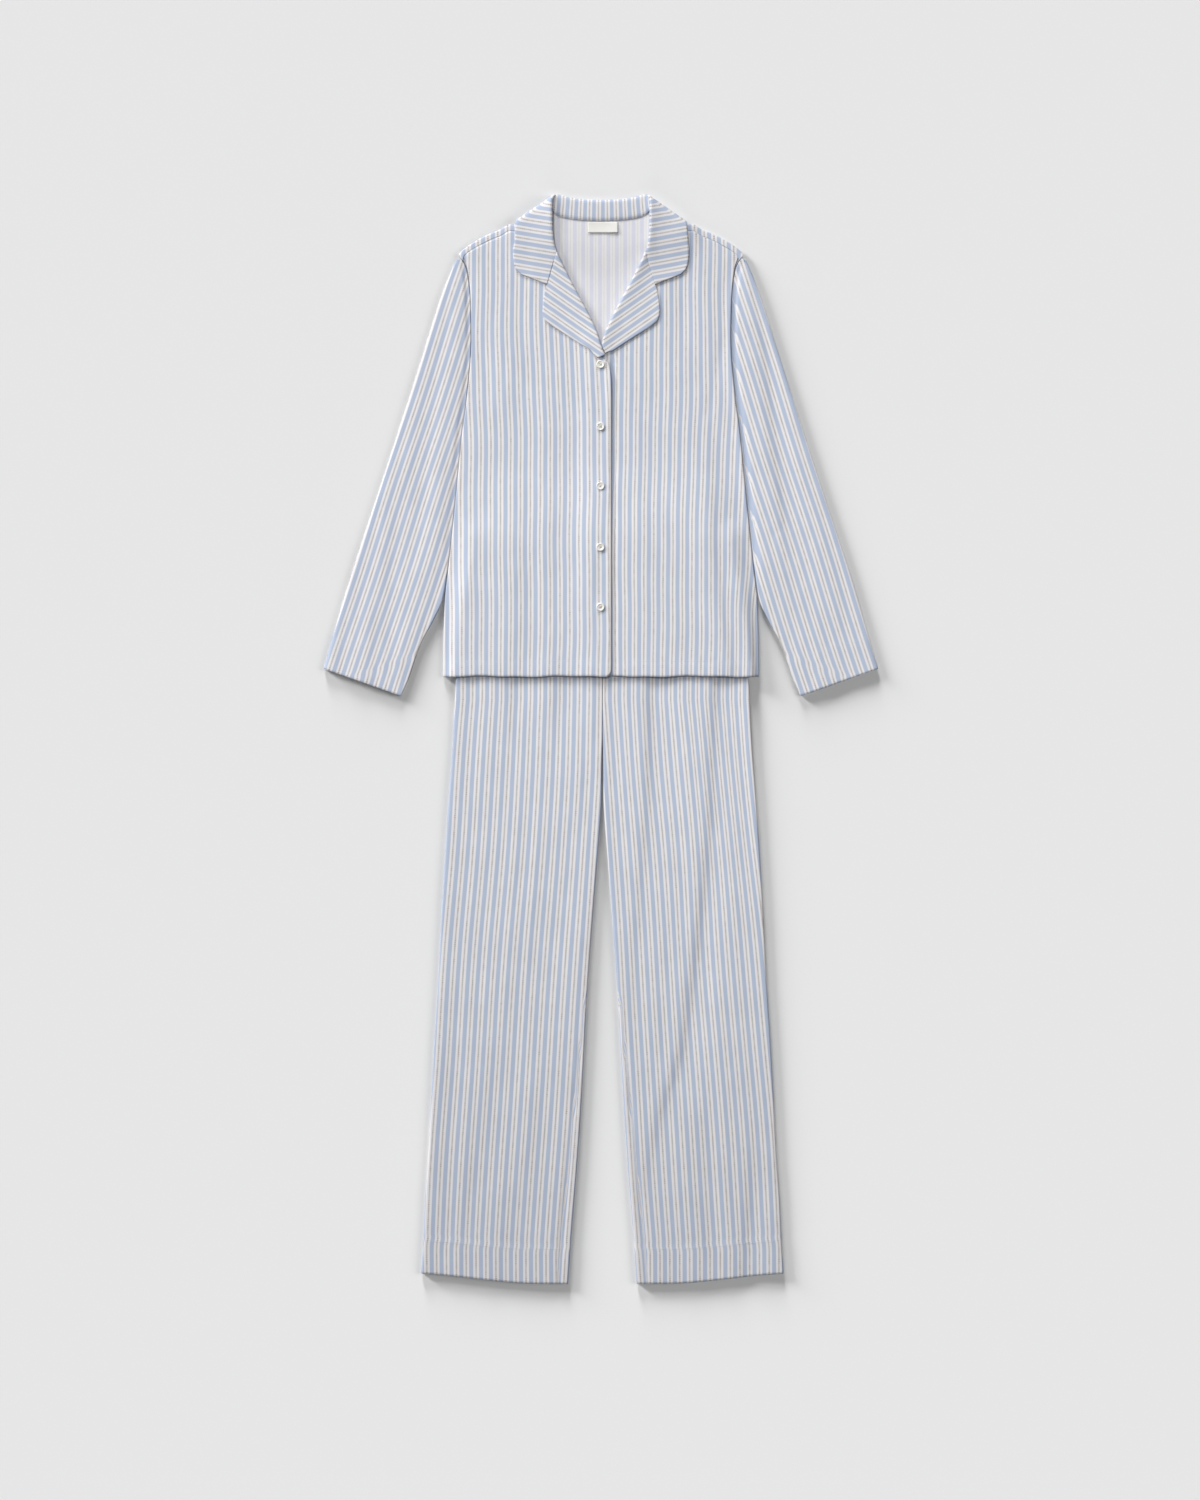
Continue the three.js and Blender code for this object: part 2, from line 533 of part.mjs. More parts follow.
// A sleeve: one piece folded along its outer edge, its underarm seam along the inner edge.
function sleeve(side) {
  const low = CLOTH / 2;
  const shares = [0, 0.22, 0.45, 0.7, 1];
  const rows = SLEEVE_ROWS.map((row) => {
    const innerX =
      row.innerY < 236 ? read(SLEEVE_INNER, "y", row.innerY, "x") : bodySide(row.innerY) + ARM_GAP;
    const from = new THREE.Vector2(innerX, row.innerY);
    const to = new THREE.Vector2(read(SLEEVE_OUTER, "y", row.outerY, "x"), row.outerY);
    const run = to.clone().sub(from);
    const width = run.length();
    const fold = Math.min(4, 0.4 * width);
    const line = acrossPanel(from, to.clone().addScaledVector(run, -fold / width), shares, [0], true, false);
    const hold = row.innerY > 480 ? seamHold(row.innerY) : 1;
    const upperLevel = (place) =>
      low + LAYER - troughs(SLEEVE_FOLDS, side, place.x, place.y) - 0.5 * (1 - smooth(place.x - innerX, 4, 22));
    const under = line.map((place) => turnedPoint(side, place, low, low + LAYER, hold));
    const over = line.map((place) => turnedPoint(side, place, upperLevel(place), low, hold));
    const edge = [-Math.PI / 4, 0, Math.PI / 4].map((angle) => {
      const out = (fold - CLOTH / 2) * Math.cos(angle);
      const place = to.clone().addScaledVector(run, (out - fold) / width);
      const z = low + (LAYER / 2) * (1 + Math.sin(angle));
      return new THREE.Vector3(side * place.x, place.y, z);
    });
    return [...under, ...edge, ...over.reverse()];
  });
  return clothWall(rows, CLOTH);
}

// The rounded curve of a roll: how far a point has gone along the ply that lies on top and the
// ply under it, and its rise from the lower ply to the upper one, for an arc length from the
// crest.
function rollCurve(arc) {
  const reach = Math.hypot(arc, ROLL_ROUND);
  return {
    over: (reach + arc - ROLL_ROUND) / 2,
    under: (reach - arc - ROLL_ROUND) / 2,
    rise: (1 + arc / reach) / 2,
  };
}

// The collar, from the middle of its notch end to the other, round the back of the neck.

function collarRow(side, row) {
  const roll = new THREE.Vector2(row.rollX, row.rollY);
  const seam = new THREE.Vector2(row.seamX, row.seamY);
  const edge = new THREE.Vector2(row.edgeX, row.edgeY);
  const fallRun = edge.clone().sub(roll);
  const standRun = seam.clone().sub(roll);
  const stand = standRun.length();
  const standDirection = stand > 0 ? standRun.clone().normalize() : fallRun.clone().normalize();
  const fallDirection = fallRun.clone().normalize();
  const turned = (1 - Math.cos(THREE.MathUtils.degToRad(row.turn))) / 2;
  const rolled = stand > 0 ? 1 : 0;
  const seamOnBack = backLevel(side * row.seamX, row.seamY);
  const seamLevel = lerp(frontLevel(side, row.seamX, row.seamY), seamOnBack, turned);
  return COLLAR_STEPS.map((step) => {
    const under = Math.max(stand, 2.5);
    const arc = step < 0 ? step * (under + ROLL_ROUND / 2) : step * (fallRun.length() + ROLL_ROUND / 2);
    const curve = rollCurve(arc);
    const flat = under * (1 + Math.min(step, 0)) + Math.max(step, 0) * (fallRun.length() - under);
    const place = roll
      .clone()
      .addScaledVector(fallDirection, lerp(flat, curve.over, rolled))
      .addScaledVector(standDirection, curve.under * rolled);
    const onFront = frontLevel(side, place.x, place.y);
    const away = Math.max(arc, 0);
    const upper = onFront + ON_CLOTH + LIE + row.puff * Math.exp(-((away / 16) ** 1.5));
    const fall = lerp(upper, FALL_LEVEL, turned);
    const standShare = THREE.MathUtils.clamp(-arc / (stand + 2), 0, 1);
    const rollSide = lerp(seamLevel, BACK_STAND_LEVEL, turned);
    const standLevel = lerp(rollSide, seamLevel, standShare);
    const rise = lerp(1, curve.rise, rolled);
    return new THREE.Vector3(side * place.x, place.y, lerp(standLevel, fall, rise));
  });
}

function collar() {
  const rightHalf = COLLAR_ROWS.map((row) => collarRow(-1, row));
  const leftHalf = COLLAR_ROWS.slice(0, -1).map((row) => collarRow(1, row)).reverse();
  return clothWall([...rightHalf, ...leftHalf], TWO_PLY);
}

// A lapel: it leaves the front's edge under the roll line, rolls over and lies on the front.
function lapel(side, ends) {
  const rows = [...LAPEL_ROWS, ...ends].map((row, i) => {
    const roll = new THREE.Vector2(row.rollX, row.rollY);
    const run = new THREE.Vector2(row.edgeX, row.edgeY).sub(roll);
    const width = run.length();
    const puff = 1.5 + 1.6 * Math.exp(-i / 3);
    const edge = width + ROLL_ROUND;
    const shares = LAPEL_SHARES.map((share) => lerp(LAPEL_UNDER[4], edge, share));
    const steps = [...LAPEL_UNDER, ...shares];
    return steps.map((arc) => {
      const curve = rollCurve(arc);
      const place = roll.clone().addScaledVector(run, (curve.over + curve.under) / width);
      const level = frontLevel(side, place.x, place.y);
      const upper = level + ON_CLOTH + puff * Math.exp(-((Math.max(arc, 0) / 14) ** 1.5));
      return new THREE.Vector3(side * place.x, place.y, lerp(level, upper, curve.rise));
    });
  });
  return clothWall(rows, TWO_PLY);
}

// A panel of the trousers. The waist end lies under the top; the legs part below the crotch.
const legBackLevel = CLOTH / 2;

function legFrontLevel(side, half, y) {
  return legBackLevel + LAYER - troughs(LEG_FOLDS, side, half, y);
}

function legPanel(side, tableRows, isFront) {
  const rows = tableRows.map((row) => {
    const from = new THREE.Vector2(row.innerX, row.innerY);
    const to = new THREE.Vector2(legSide(row.sideY), row.sideY);
    const shares = isFront ? LEG_SHARES : LEG_BACK_SHARES;
    const line = acrossPanel(from, to, shares, [5, 0], true, true);
    const innerHold = 1 - smooth(row.innerY, CROTCH_Y - 60, CROTCH_Y);
    return line.map((place) => {
      const high = legFrontLevel(side, place.x, place.y);
      const [level, partner] = isFront ? [high, legBackLevel] : [legBackLevel, high];
      const point = turnedPoint(side, place, level, partner, place.atStart ? innerHold : 1);
      return point.setX(point.x + TROUSER_CENTRE);
    });
  });
  return clothWall(rows, CLOTH);
}

// The waistband: a flattened ring round both layers of the trousers.
function waistband() {
  const low = WAISTBAND.wall / 2;
  const high = legBackLevel + LAYER + CLOTH / 2 - WAISTBAND.wall / 2;
  const middle = (low + high) / 2;
  const round = (high - low) / 2;
  const rows = [WAISTBAND.low, (WAISTBAND.low + WAISTBAND.high) / 2, WAISTBAND.high].map((y) => {
    const reach = legSide(y) - round - WAISTBAND.wall / 2;
    const ring = [];
    for (const side of [1, -1]) {
      for (const angle of [-90, -45, 0, 45, 90]) {
        const turn = THREE.MathUtils.degToRad(angle);
        const x = side * (reach + round * Math.cos(turn));
        ring.push(new THREE.Vector3(x + TROUSER_CENTRE, y, middle + side * round * Math.sin(turn)));
      }
      for (const share of [0.5, 0, -0.5]) {
        ring.push(new THREE.Vector3(side * share * reach + TROUSER_CENTRE, y, middle + side * round));
      }
    }
    return ring;
  });
  return clothWall(rows, WAISTBAND.wall, true);
}

// A flat round button with a raised rim and a dished middle.
function button() {
  const radius = BUTTON.diameter / 2;
  const profile = [
    new THREE.Vector2(0, 0),
    new THREE.Vector2(radius - 1, 0),
    new THREE.Vector2(radius, BUTTON.thickness / 2),
    new THREE.Vector2(radius - 0.7, BUTTON.thickness),
    new THREE.Vector2(radius - BUTTON.rim, BUTTON.thickness - 0.2),
    new THREE.Vector2(radius - BUTTON.rim - 0.6, BUTTON.thickness - BUTTON.dish),
    new THREE.Vector2(0, BUTTON.thickness - BUTTON.dish),
  ];
  return new THREE.LatheGeometry(profile, 16).rotateX(Math.PI / 2);
}

// The label lies on the inside of the back, below the neck seam.
function neckLabel() {
  const rows = [0, 0.5, 1].map((share) => {
    const y = LABEL.y + share * LABEL.height;
    return [-0.5, -0.25, 0, 0.25, 0.5].map((across) => {
      const x = LABEL.x + across * LABEL.width;
      return new THREE.Vector3(x, y, backLevel(x, y) + CLOTH / 2 + LIE + LABEL.wall / 2);
    });
  });
  return clothWall(rows, LABEL.wall);
}

addPiece("top_back", topBack(), wrongSide);
addPiece("top_front_right", topFront(-1), flannel);
addPiece("top_front_left", topFront(1), flannel);
addPiece("sleeve_right", sleeve(-1), flannel);
addPiece("sleeve_left", sleeve(1), flannel);
addPiece("collar", collar(), flannel);
addPiece("lapel_right", lapel(-1, RIGHT_LAPEL_END), flannel);
addPiece("lapel_left", lapel(1, LEFT_LAPEL_END), flannel);
addPiece("neck_label", neckLabel(), labelCloth);
addPiece("trouser_front_right", legPanel(-1, LEG_FRONT_ROWS, true), flannel);
addPiece("trouser_front_left", legPanel(1, LEG_FRONT_ROWS, true), flannel);
addPiece("trouser_back_right", legPanel(-1, LEG_BACK_ROWS, false), flannel);
addPiece("trouser_back_left", legPanel(1, LEG_BACK_ROWS, false), flannel);
addPiece("waistband", waistband(), flannel);
BUTTON_HEIGHTS.forEach((y, i) => {
  const cloth = frontLevel(-1, -BUTTON.x, y) + CLOTH / 2;
  addPiece(`button_${i + 1}`, button(), buttonResin).position.set(BUTTON.x, y, cloth + SEAM);
});

set.position.y = CENTRE_SHIFT_Y;

export default set;
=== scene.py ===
"""A striped pyjama set laid flat: the fine cloth, stitches, buttons, light and camera.

Sizes in the tables are millimetres, as on the pattern pieces; meshes are made in metres.
+X is the wearer's left, +Y runs from the trouser hems to the collar, +Z is up. Half tables give
the distance from the middle line, so side is -1 for the wearer's right and 1 for the left.
"""
import json
import logging
import math
from dataclasses import dataclass, field
from enum import Enum
from typing import Sequence

import bmesh
import bpy
import numpy as np
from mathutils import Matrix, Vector

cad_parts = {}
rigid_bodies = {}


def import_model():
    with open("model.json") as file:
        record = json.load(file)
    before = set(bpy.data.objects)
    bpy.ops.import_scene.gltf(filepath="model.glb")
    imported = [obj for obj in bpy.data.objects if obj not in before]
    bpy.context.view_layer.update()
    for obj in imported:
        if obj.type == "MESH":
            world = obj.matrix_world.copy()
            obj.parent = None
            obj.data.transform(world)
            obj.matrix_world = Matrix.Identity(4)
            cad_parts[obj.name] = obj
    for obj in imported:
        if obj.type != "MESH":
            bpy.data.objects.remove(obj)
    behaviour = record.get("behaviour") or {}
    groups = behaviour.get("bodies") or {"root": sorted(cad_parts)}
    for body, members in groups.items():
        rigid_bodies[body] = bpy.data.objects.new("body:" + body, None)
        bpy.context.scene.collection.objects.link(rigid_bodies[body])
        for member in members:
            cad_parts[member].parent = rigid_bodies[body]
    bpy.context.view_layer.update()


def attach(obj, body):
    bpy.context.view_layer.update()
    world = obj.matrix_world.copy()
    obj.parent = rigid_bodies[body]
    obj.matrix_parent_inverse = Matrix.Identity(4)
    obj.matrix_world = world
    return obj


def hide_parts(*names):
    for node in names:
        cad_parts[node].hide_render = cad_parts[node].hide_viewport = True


LOG = logging.getLogger("pyjamas")
MM = 0.001
SHIFT_Y = 0.15  # the set's middle lies this far above the tables' zero

CLOTH = 1.2
TWO_PLY = 2.0
SEAM = 0.3
LIE = 0.4
LOFT = 2.4
LAYER = CLOTH + LOFT
ON_TROUSERS = CLOTH + LAYER + 0.7
ON_COLLAR = TWO_PLY + 0.9
ON_CLOTH = CLOTH / 2 + LIE + TWO_PLY / 2
TURN = 2.3
SHOULDER_WRAP = 8.5
SHOULDER_SEAM = 0.6
ARM_GAP = 0.6
PLACKET_LAP = 14.0
PLACKET_LIFT = CLOTH + 0.6
TROUSER_CENTRE = 2.0
TABLE_HEM_Y = -761.5  # the leg tables' straight hem, and its rise per millimetre from the inseam
TABLE_HEM_RISE = 0.0716
HEM_Y = -761.4  # the hem as laid
HEM_RISE = 13
SLEEVE_TUCK = 2.2  # how far a sleeve's margin beside the body lies lower
CLOSE_ROLL = 1.2  # roundness of the roll line on the wearer's left; the next two are on the right
COLLAR_ROLL = 3.6
LAPEL_ROLL = 2.3
BACK_STAND_LEVEL = 5.4
FALL_LEVEL = TWO_PLY / 2
ROLL_ROUND = 1.7
REPEAT = 13.75  # width of one stripe repeat


class Face(Enum):
    """The two faces of the printed cloth."""

    RIGHT = "right"
    WRONG = "wrong"


def smooth(x: np.ndarray, low: np.ndarray, high: np.ndarray) -> np.ndarray:
    """An even step from 0 at low to 1 at high."""
    t = np.clip((x - low) / (high - low), 0.0, 1.0)
    return t * t * (3 - 2 * t)


def lerp(a: np.ndarray, b: np.ndarray, t: np.ndarray) -> np.ndarray:
    """A straight blend from a to b."""
    return a + (b - a) * t


class Curve:
    """A smooth line through a table's points that never swings past them."""

    def __init__(self, at: Sequence[float], value: Sequence[float]) -> None:
        """Works out the slope at each point.

        Args:
            at: places, rising.
            value: the value at each place.
        """
        self.at = np.asarray(at, float)
        self.value = np.asarray(value, float)
        step = np.diff(self.at)
        rise = np.diff(self.value) / step
        slope = np.zeros(len(self.at))
        slope[0], slope[-1] = rise[0], rise[-1]
        for i in range(1, len(rise)):
            if rise[i - 1] * rise[i] > 0:
                w1, w2 = 2 * step[i] + step[i - 1], step[i] + 2 * step[i - 1]
                slope[i] = (w1 + w2) / (w1 / rise[i - 1] + w2 / rise[i])
        self.slope = slope

    def __call__(self, x: np.ndarray) -> np.ndarray:
        """Returns the line's value at x, held level past its ends."""
        x = np.clip(np.asarray(x, float), self.at[0], self.at[-1])
        i = np.clip(np.searchsorted(self.at, x) - 1, 0, len(self.at) - 2)
        h = self.at[i + 1] - self.at[i]
        t = (x - self.at[i]) / h
        a, b = self.value[i], self.value[i + 1]
        m, n = self.slope[i] * h, self.slope[i + 1] * h
        return (
            a * (1 + 2 * t) * (1 - t) ** 2
            + m * t * (1 - t) ** 2
            + b * t * t * (3 - 2 * t)
            + n * t * t * (t - 1)
        )


class Rows:
    """A table whose columns are read smoothly by row number."""

    def __init__(self, columns: Sequence[str], rows: Sequence[Sequence[float]]) -> None:
        """Keeps one curve for each named column.

        Args:
            columns: the columns' names.
            rows: the table.
        """
        self.count = len(rows)
        index = np.arange(self.count)
        self.curves = {
            name: Curve(index, [row[i] for row in rows]) for i, name in enumerate(columns)
        }

    def read(self, name: str, at: np.ndarray) -> np.ndarray:
        """Returns a column's value at row numbers that may be fractions."""
        return self.curves[name](at)


BODY_SIDE = Curve(
    [87, 138, 201, 236, 292, 362, 432, 488, 558, 614, 653, 666, 675.5],
    [221, 220.5, 218, 214, 208, 201, 194, 186.5, 181.5, 182.5, 187, 192, 199],
)
WIDEST_Y = 675.5
BACK_TOP = Curve(
    [0, 24, 48, 66, 74.5, 95, 112, 120, 127, 140, 154, 168, 182, 193, 199],
    [724.5, 725.8, 729.6, 735, 741.5, 730.5, 721.8, 718.6, 719.2, 712.5, 707, 700, 692, 683.5, 677],
)
FRONT_TABLE = Rows(
    ("inner_x", "inner_y", "side_y"),
    [
        (-14, 87, 87),
        (-14, 145, 140),
        (-14, 210, 201),
        (-14, 274, 262),
        (-14, 312, 298),
        (-14, 375, 356),
        (-14, 440, 416),
        (-14, 492, 465),
        (-12.6, 514, 487),
        (-8.8, 527.5, 503),
        (-1, 534, 514),
        (8.6, 565, 541),
        (24.8, 600, 568),
        (51.2, 650, 605),
        (66, 680, 630),
        (70.5, 696.5, 645),
        (75, 714, 657),
        (76, 731, 667.3),
    ],
)
SLEEVE_TABLE = Rows(
    ("inner_y", "outer_y"),
    [
        (59.5, 98),
        (105, 138),
        (150, 180),
        (194, 224),
        (245, 274),
        (310, 334),
        (380, 396),
        (450, 460),
        (515, 522),
        (575, 580),
        (625, 627),
        (655, 652),
        (671.5, 668),
    ],
)
SLEEVE_INNER = Curve([59.5, 82, 110, 138, 166, 194, 236], [279.5, 269.5, 260, 249, 234, 221.5, 214.6])
SLEEVE_OUTER = Curve(
    [98, 138, 222, 334, 446, 558, 614, 645, 668],
    [388, 376.6, 352, 315, 278.6, 243, 225.4, 213.5, 203.5],
)
COLLAR_TABLE = Rows(
    ("seam_x", "seam_y", "roll_x", "roll_y", "edge_x", "edge_y", "turn", "puff"),
    [
        (76, 635.5, 76, 635.5, 111, 649.3, 0, 0),
        (72.2, 648, 72.2, 648, 118, 656, 0, 0.3),
        (67.6, 664, 67.6, 664, 121.7, 668, 0, 0.8),
        (62.8, 680, 62.8, 680, 122.5, 682, 0, 1.6),
        (69.2, 696.8, 66.8, 697, 122, 695, 0, 3),
        (73.6, 714, 68.4, 716, 121.2, 706, 0, 4.2),
        (73.6, 729.4, 68.6, 735, 120.4, 714, 0, 5),
        (73, 738.6, 68.4, 749, 119.8, 718.6, 20, 5),
        (71.4, 742, 67.2, 756.5, 119.2, 721.6, 50, 4.6),
        (69.6, 739.4, 65.2, 759.2, 118.4, 722.4, 90, 3.6),
        (65.6, 734.4, 62.6, 760.2, 117, 721.8, 142, 2),
        (60, 730.6, 57, 759.4, 111.6, 717.6, 168, 1.2),
        (48, 727, 45, 756, 85, 706, 180, 1),
        (24, 724, 23, 753.2, 43, 699.5, 180, 0.9),
        (0, 723, 0, 752.5, 0, 697, 180, 0.9),
    ],
)
FALL_EDGE = Curve([0, 43, 85, 111.6, 121], [697, 699.5, 706, 717.6, 722])
LAPEL_ROWS = [
    (62, 679.2, 75.1, 635.1),
    (56, 666, 78.2, 626),
    (48, 650, 80.6, 612),
    (40, 634.5, 81.6, 599),
    (31, 617.5, 79, 586.5),
    (21.5, 600, 69, 577),
    (13.5, 584, 50, 564.8),
    (6.5, 568.5, 30, 552.2),
    (2.4, 555, 14, 542.5),
]
RIGHT_LAPEL_END = [(-1.5, 543.5, 9.2, 536), (-4.6, 536, 5.6, 532.4)]
LEFT_LAPEL_END = [(1.9, 550.5, 8.6, 541.2), (2.7, 547.2, 5.8, 539.4)]
LEG_SIDE = Curve(
    [-745.5, -702, -646, -590, -506, -422, -338, -254, -170, -86, -2, 82, 120, 200, 235, 270],
    [253.5, 250.5, 248, 244, 239.5, 235, 229.5, 225.5, 220.5, 215, 209, 205, 201, 188, 179, 171],
)
LEG_FRONT_TABLE = Rows(
    ("inner_x", "inner_y", "side_y"),
    [
        (48, -761.5, -745),
        (44, -702, -690),
        (35, -590, -584),
        (28, -478, -474),
        (22, -366, -362),
        (16.5, -282, -280),
        (9.8, -198, -198),
        (5.3, -146, -146),
        (2.8, -110, -110),
        (1.4, -84, -84),
        (1.2, -44, -44),
        (0.8, -16, -16),
        (0.2, 12, 12),
        (0.2, 60, 60),
        (0.2, 120, 120),
        (0.2, 180, 180),
        (0.2, 234.6, 234.6),
    ],
)
LEG_BACK_TABLE = Rows(
    ("inner_x", "inner_y", "side_y"),
    [
        (48, -761.5, -745),
        (44, -702, -690),
        (31, -534, -530),
        (22, -366, -362),
        (13.8, -254, -250),
        (5.4, -146, -146),
        (2.9, -110, -110),
        (1.5, -84, -84),
        (1.3, -44, -44),
        (0.9, -16, -16),
        (0.2, 20, 20),
        (0.2, 120, 120),
        (0.2, 234.6, 234.6),
    ],
)
CROTCH_Y = -9.0

@dataclass(frozen=True)
class Fold:
    """A long soft fold: a steep wall on its left, a gentle one on its right, a low ridge before it.

    Args:
        y: heights of its points, falling.
        x: where its steep wall is at each, from the set's middle.
        depth: its depth at each.
        ridge: the ridge's share of the depth.
    """

    y: tuple
    x: tuple
    depth: tuple
    ridge: float = 0.22
    steep: float = 9.0
    gentle: float = 27.0

    def relief(self, x: np.ndarray, y: np.ndarray) -> np.ndarray:
        """Returns how far the fold lifts the cloth, less than 0 in its trough."""
        order = np.argsort(self.y)
        heights = np.asarray(self.y, float)[order]
        line = Curve(heights, np.asarray(self.x, float)[order])
        depth = Curve(heights, np.asarray(self.depth, float)[order])(y)
        t = x - line(y) - 0.75 * self.steep
        trough = np.exp(-((t / np.where(t < 0, self.steep, self.gentle)) ** 2))
        ridge = np.exp(-(((t + 2.1 * self.steep) / (1.3 * self.steep)) ** 2))
        return depth * (self.ridge * ridge - trough)


LEG_DRAPE = (
    Fold((68, 26, -86, -198, -310, -422, -480), (67, 67, 64.5, 56, 47.5, 43, 41), (1.9, 1.9, 1.6, 1.3, 1.0, 0.4, 0)),
    Fold((80, 26, -86, -198, -310, -422, -534, -646, -700), (160, 157, 154, 145.5, 131.5, 116, 82, 56, 50),
         (2.2, 2.2, 2.0, 2.1, 2.1, 1.8, 1.1, 0.5, 0)),
    Fold((-506, -590, -674, -751), (218, 210, 204.5, 199), (0, 0.6, 1.2, 1.1)),
    Fold((68, 26, -72, -156), (-124.6, -124.6, -130, -133), (1.4, 1.2, 0.5, 0)),
    Fold((68, 26, -86, -198, -310, -422, -506), (-61.6, -64.4, -71.4, -85.4, -96.6, -96.6, -94),
         (1.2, 1.0, 0.5, 0.6, 0.6, 0.35, 0)),
)
TOP_DRAPE = (
    Fold((446, 362, 250, 180, 110), (147, 154, 160, 169, 182), (0, 0.9, 1.7, 1.4, 1.2), 0.15),
    Fold((362, 250, 110), (-74, -69, -63), (0.15, 0.45, 0.45), 0.15),
    Fold((420, 362, 250, 110), (-110, -107, -108, -111), (0, 0.45, 0.6, 0.4), 0.15),
    Fold((420, 362, 250, 150), (-188, -186, -183, -184), (0, 0.6, 0.6, 0), 0.15),
)
SLEEVE_DRAPE = (
    Fold((640, 558, 474, 390, 306, 222, 138), (214, 225, 235, 245, 252, 260, 276), (0.5, 1.1, 1.2, 1.2, 1.1, 0.8, 0.1)),
    Fold((580, 474, 390, 306, 222, 160), (245, 269, 292, 313, 329, 345), (0.6, 1.0, 1.1, 0.6, 0.3, 0)),
    Fold((520, 474, 390, 306, 222), (-248, -253, -264.6, -287, -298), (0, 0.3, 0.6, 0.5, 0.1)),
)


def drape(folds: Sequence[Fold], x: np.ndarray, y: np.ndarray) -> np.ndarray:
    """The summed relief of a piece's folds at places on it."""
    return sum((fold.relief(x, y) for fold in folds), np.zeros(np.broadcast(x, y).shape))


def keep_above(z: np.ndarray, lowest: np.ndarray) -> np.ndarray:
    """Cloth that comes softly to rest on what is under it."""
    soft = 0.22
    return lowest + soft * np.logaddexp(0, (z - lowest) / soft)


# Finer creases that only the cloth's surface shows: side, from, to, width and depth.
TOP_CREASES = [
    (-1, 176, 560, 150, 470, 7, 0.5),
    (-1, 150, 380, 176, 250, 9, 0.4),
    (-1, 96, 250, 92, 100, 8, 0.35),
    (-1, 118, 640, 112, 560, 9, 0.4),
    (1, 172, 560, 150, 450, 7, 0.6),
    (1, 116, 300, 122, 110, 9, 0.35),
    (1, 120, 640, 112, 560, 9, 0.4),
    (1, 196, 250, 204, 130, 6, 0.5),
]
SLEEVE_CREASES = [
    (-1, 212, 600, 236, 470, 6, 0.5),
    (-1, 244, 360, 262, 240, 7, 0.4),
    (-1, 306, 330, 330, 190, 9, 0.4),
    (-1, 228, 300, 262, 330, 7, 0.5),
    (1, 236, 280, 262, 300, 7, 0.45),
]
LEG_CREASES = [
    (-1, 30, 60, 22, -90, 8, 0.5),
    (-1, 176, 120, 190, -90, 11, 0.4),
    (-1, 196, -420, 214, -700, 11, 0.4),
    (1, 24, 80, 20, -60, 8, 0.4),
    (1, 196, 60, 204, -200, 10, 0.4),
    (1, 96, -260, 84, -460, 10, 0.4),
    (1, 150, -520, 152, -740, 11, 0.4),
]


def troughs(folds: Sequence[tuple], side: int, x: np.ndarray, y: np.ndarray) -> np.ndarray:
    """How far a table's creases lower the cloth.

    Args:
        folds: rows of side, from x, from y, to x, to y, width and depth.
        side: the side of the garment.
        x: distance from the middle line.
        y: height on the garment.

    Returns:
        The drop in millimetres.
    """
    drop = np.zeros(np.broadcast(x, y).shape)
    for fold_side, x0, y0, x1, y1, width, depth in folds:
        if fold_side != side:
            continue
        run_x, run_y = x1 - x0, y1 - y0
        square = run_x**2 + run_y**2
        share = ((x - x0) * run_x + (y - y0) * run_y) / square
        away = np.abs((x - x0) * run_y - (y - y0) * run_x) / math.sqrt(square)
        fade = smooth(share, -0.12, 0.12) * (1 - smooth(share, 0.88, 1.12))
        drop = drop + depth * fade * np.exp(-((away / width) ** 2))
    return drop


def undulation(seed: int, x: np.ndarray, y: np.ndarray, size: float, height: float) -> np.ndarray:
    """Soft uneven swells of laid cloth, longer along the garment than across it.

    Args:
        seed: picks the pattern.
        x: place across.
        y: place along.
        size: the swells' usual width.
        height: their usual height.

    Returns:
        The height at each place.
    """
    rng = np.random.default_rng(seed)
    total = np.zeros(np.broadcast(x, y).shape)
    for _ in range(9):
        turn, phase, grow = rng.uniform(-0.5, 0.5), rng.uniform(0, 2 * math.pi), rng.uniform(0.7, 1.6)
        across = 2 * math.pi / (size * grow)
        total = total + np.sin(across * (x * math.cos(turn) + 0.33 * y * math.sin(turn) + 0.12 * y) + phase)
    return height * total / 3


def back_level(x: np.ndarray, y: np.ndarray) -> np.ndarray:
    """The middle of the top's back: on the surface, the trousers and the collar's fall."""
    half = np.abs(x)
    from_centre = np.abs(x - TROUSER_CENTRE)
    ramp = LEG_SIDE(y) + 3
    over_trousers = (1 - smooth(y, 274, 312)) * (
        1 - smooth(from_centre, ramp, np.maximum(ramp + 9, BODY_SIDE(y) - 4))
    )
    edge = FALL_EDGE(half)
    over_collar = smooth(y, edge - 58, edge - 2) * (1 - smooth(half, 121, 146))
    return CLOTH / 2 + ON_TROUSERS * over_trousers + ON_COLLAR * over_collar


def front_bridge(x: np.ndarray, y: np.ndarray) -> np.ndarray:
    """How far a front rises over the back, where it bridges down from the trousers' top."""
    within = 1 - smooth(np.abs(x), LEG_SIDE(y) - 20, BODY_SIDE(y) - 6)
    return ON_TROUSERS * (smooth(y, 274, 312) - smooth(y, 266, 400)) * within


def front_level(side: int, half: np.ndarray, y: np.ndarray) -> np.ndarray:
    """The middle of a front over the back, with the placket's lap."""
    slope = 0.8 * (1 - smooth(BODY_SIDE(y) - half, TURN, 18))
    lap = 0.0
    if side < 0:
        lap = (1 - smooth(half, PLACKET_LAP + 2, 40)) * (1 - smooth(y, 550, 600))
    base = back_level(side * half, y) + front_bridge(side * half, y)
    return base + LAYER - slope + PLACKET_LIFT * lap


def seam_hold(y: np.ndarray) -> np.ndarray:
    """How far a side seam's edges turn to each other."""
    return lerp(1.0, 0.45, smooth(y, 455, 500)) * (1 - smooth(y, 648, 672))


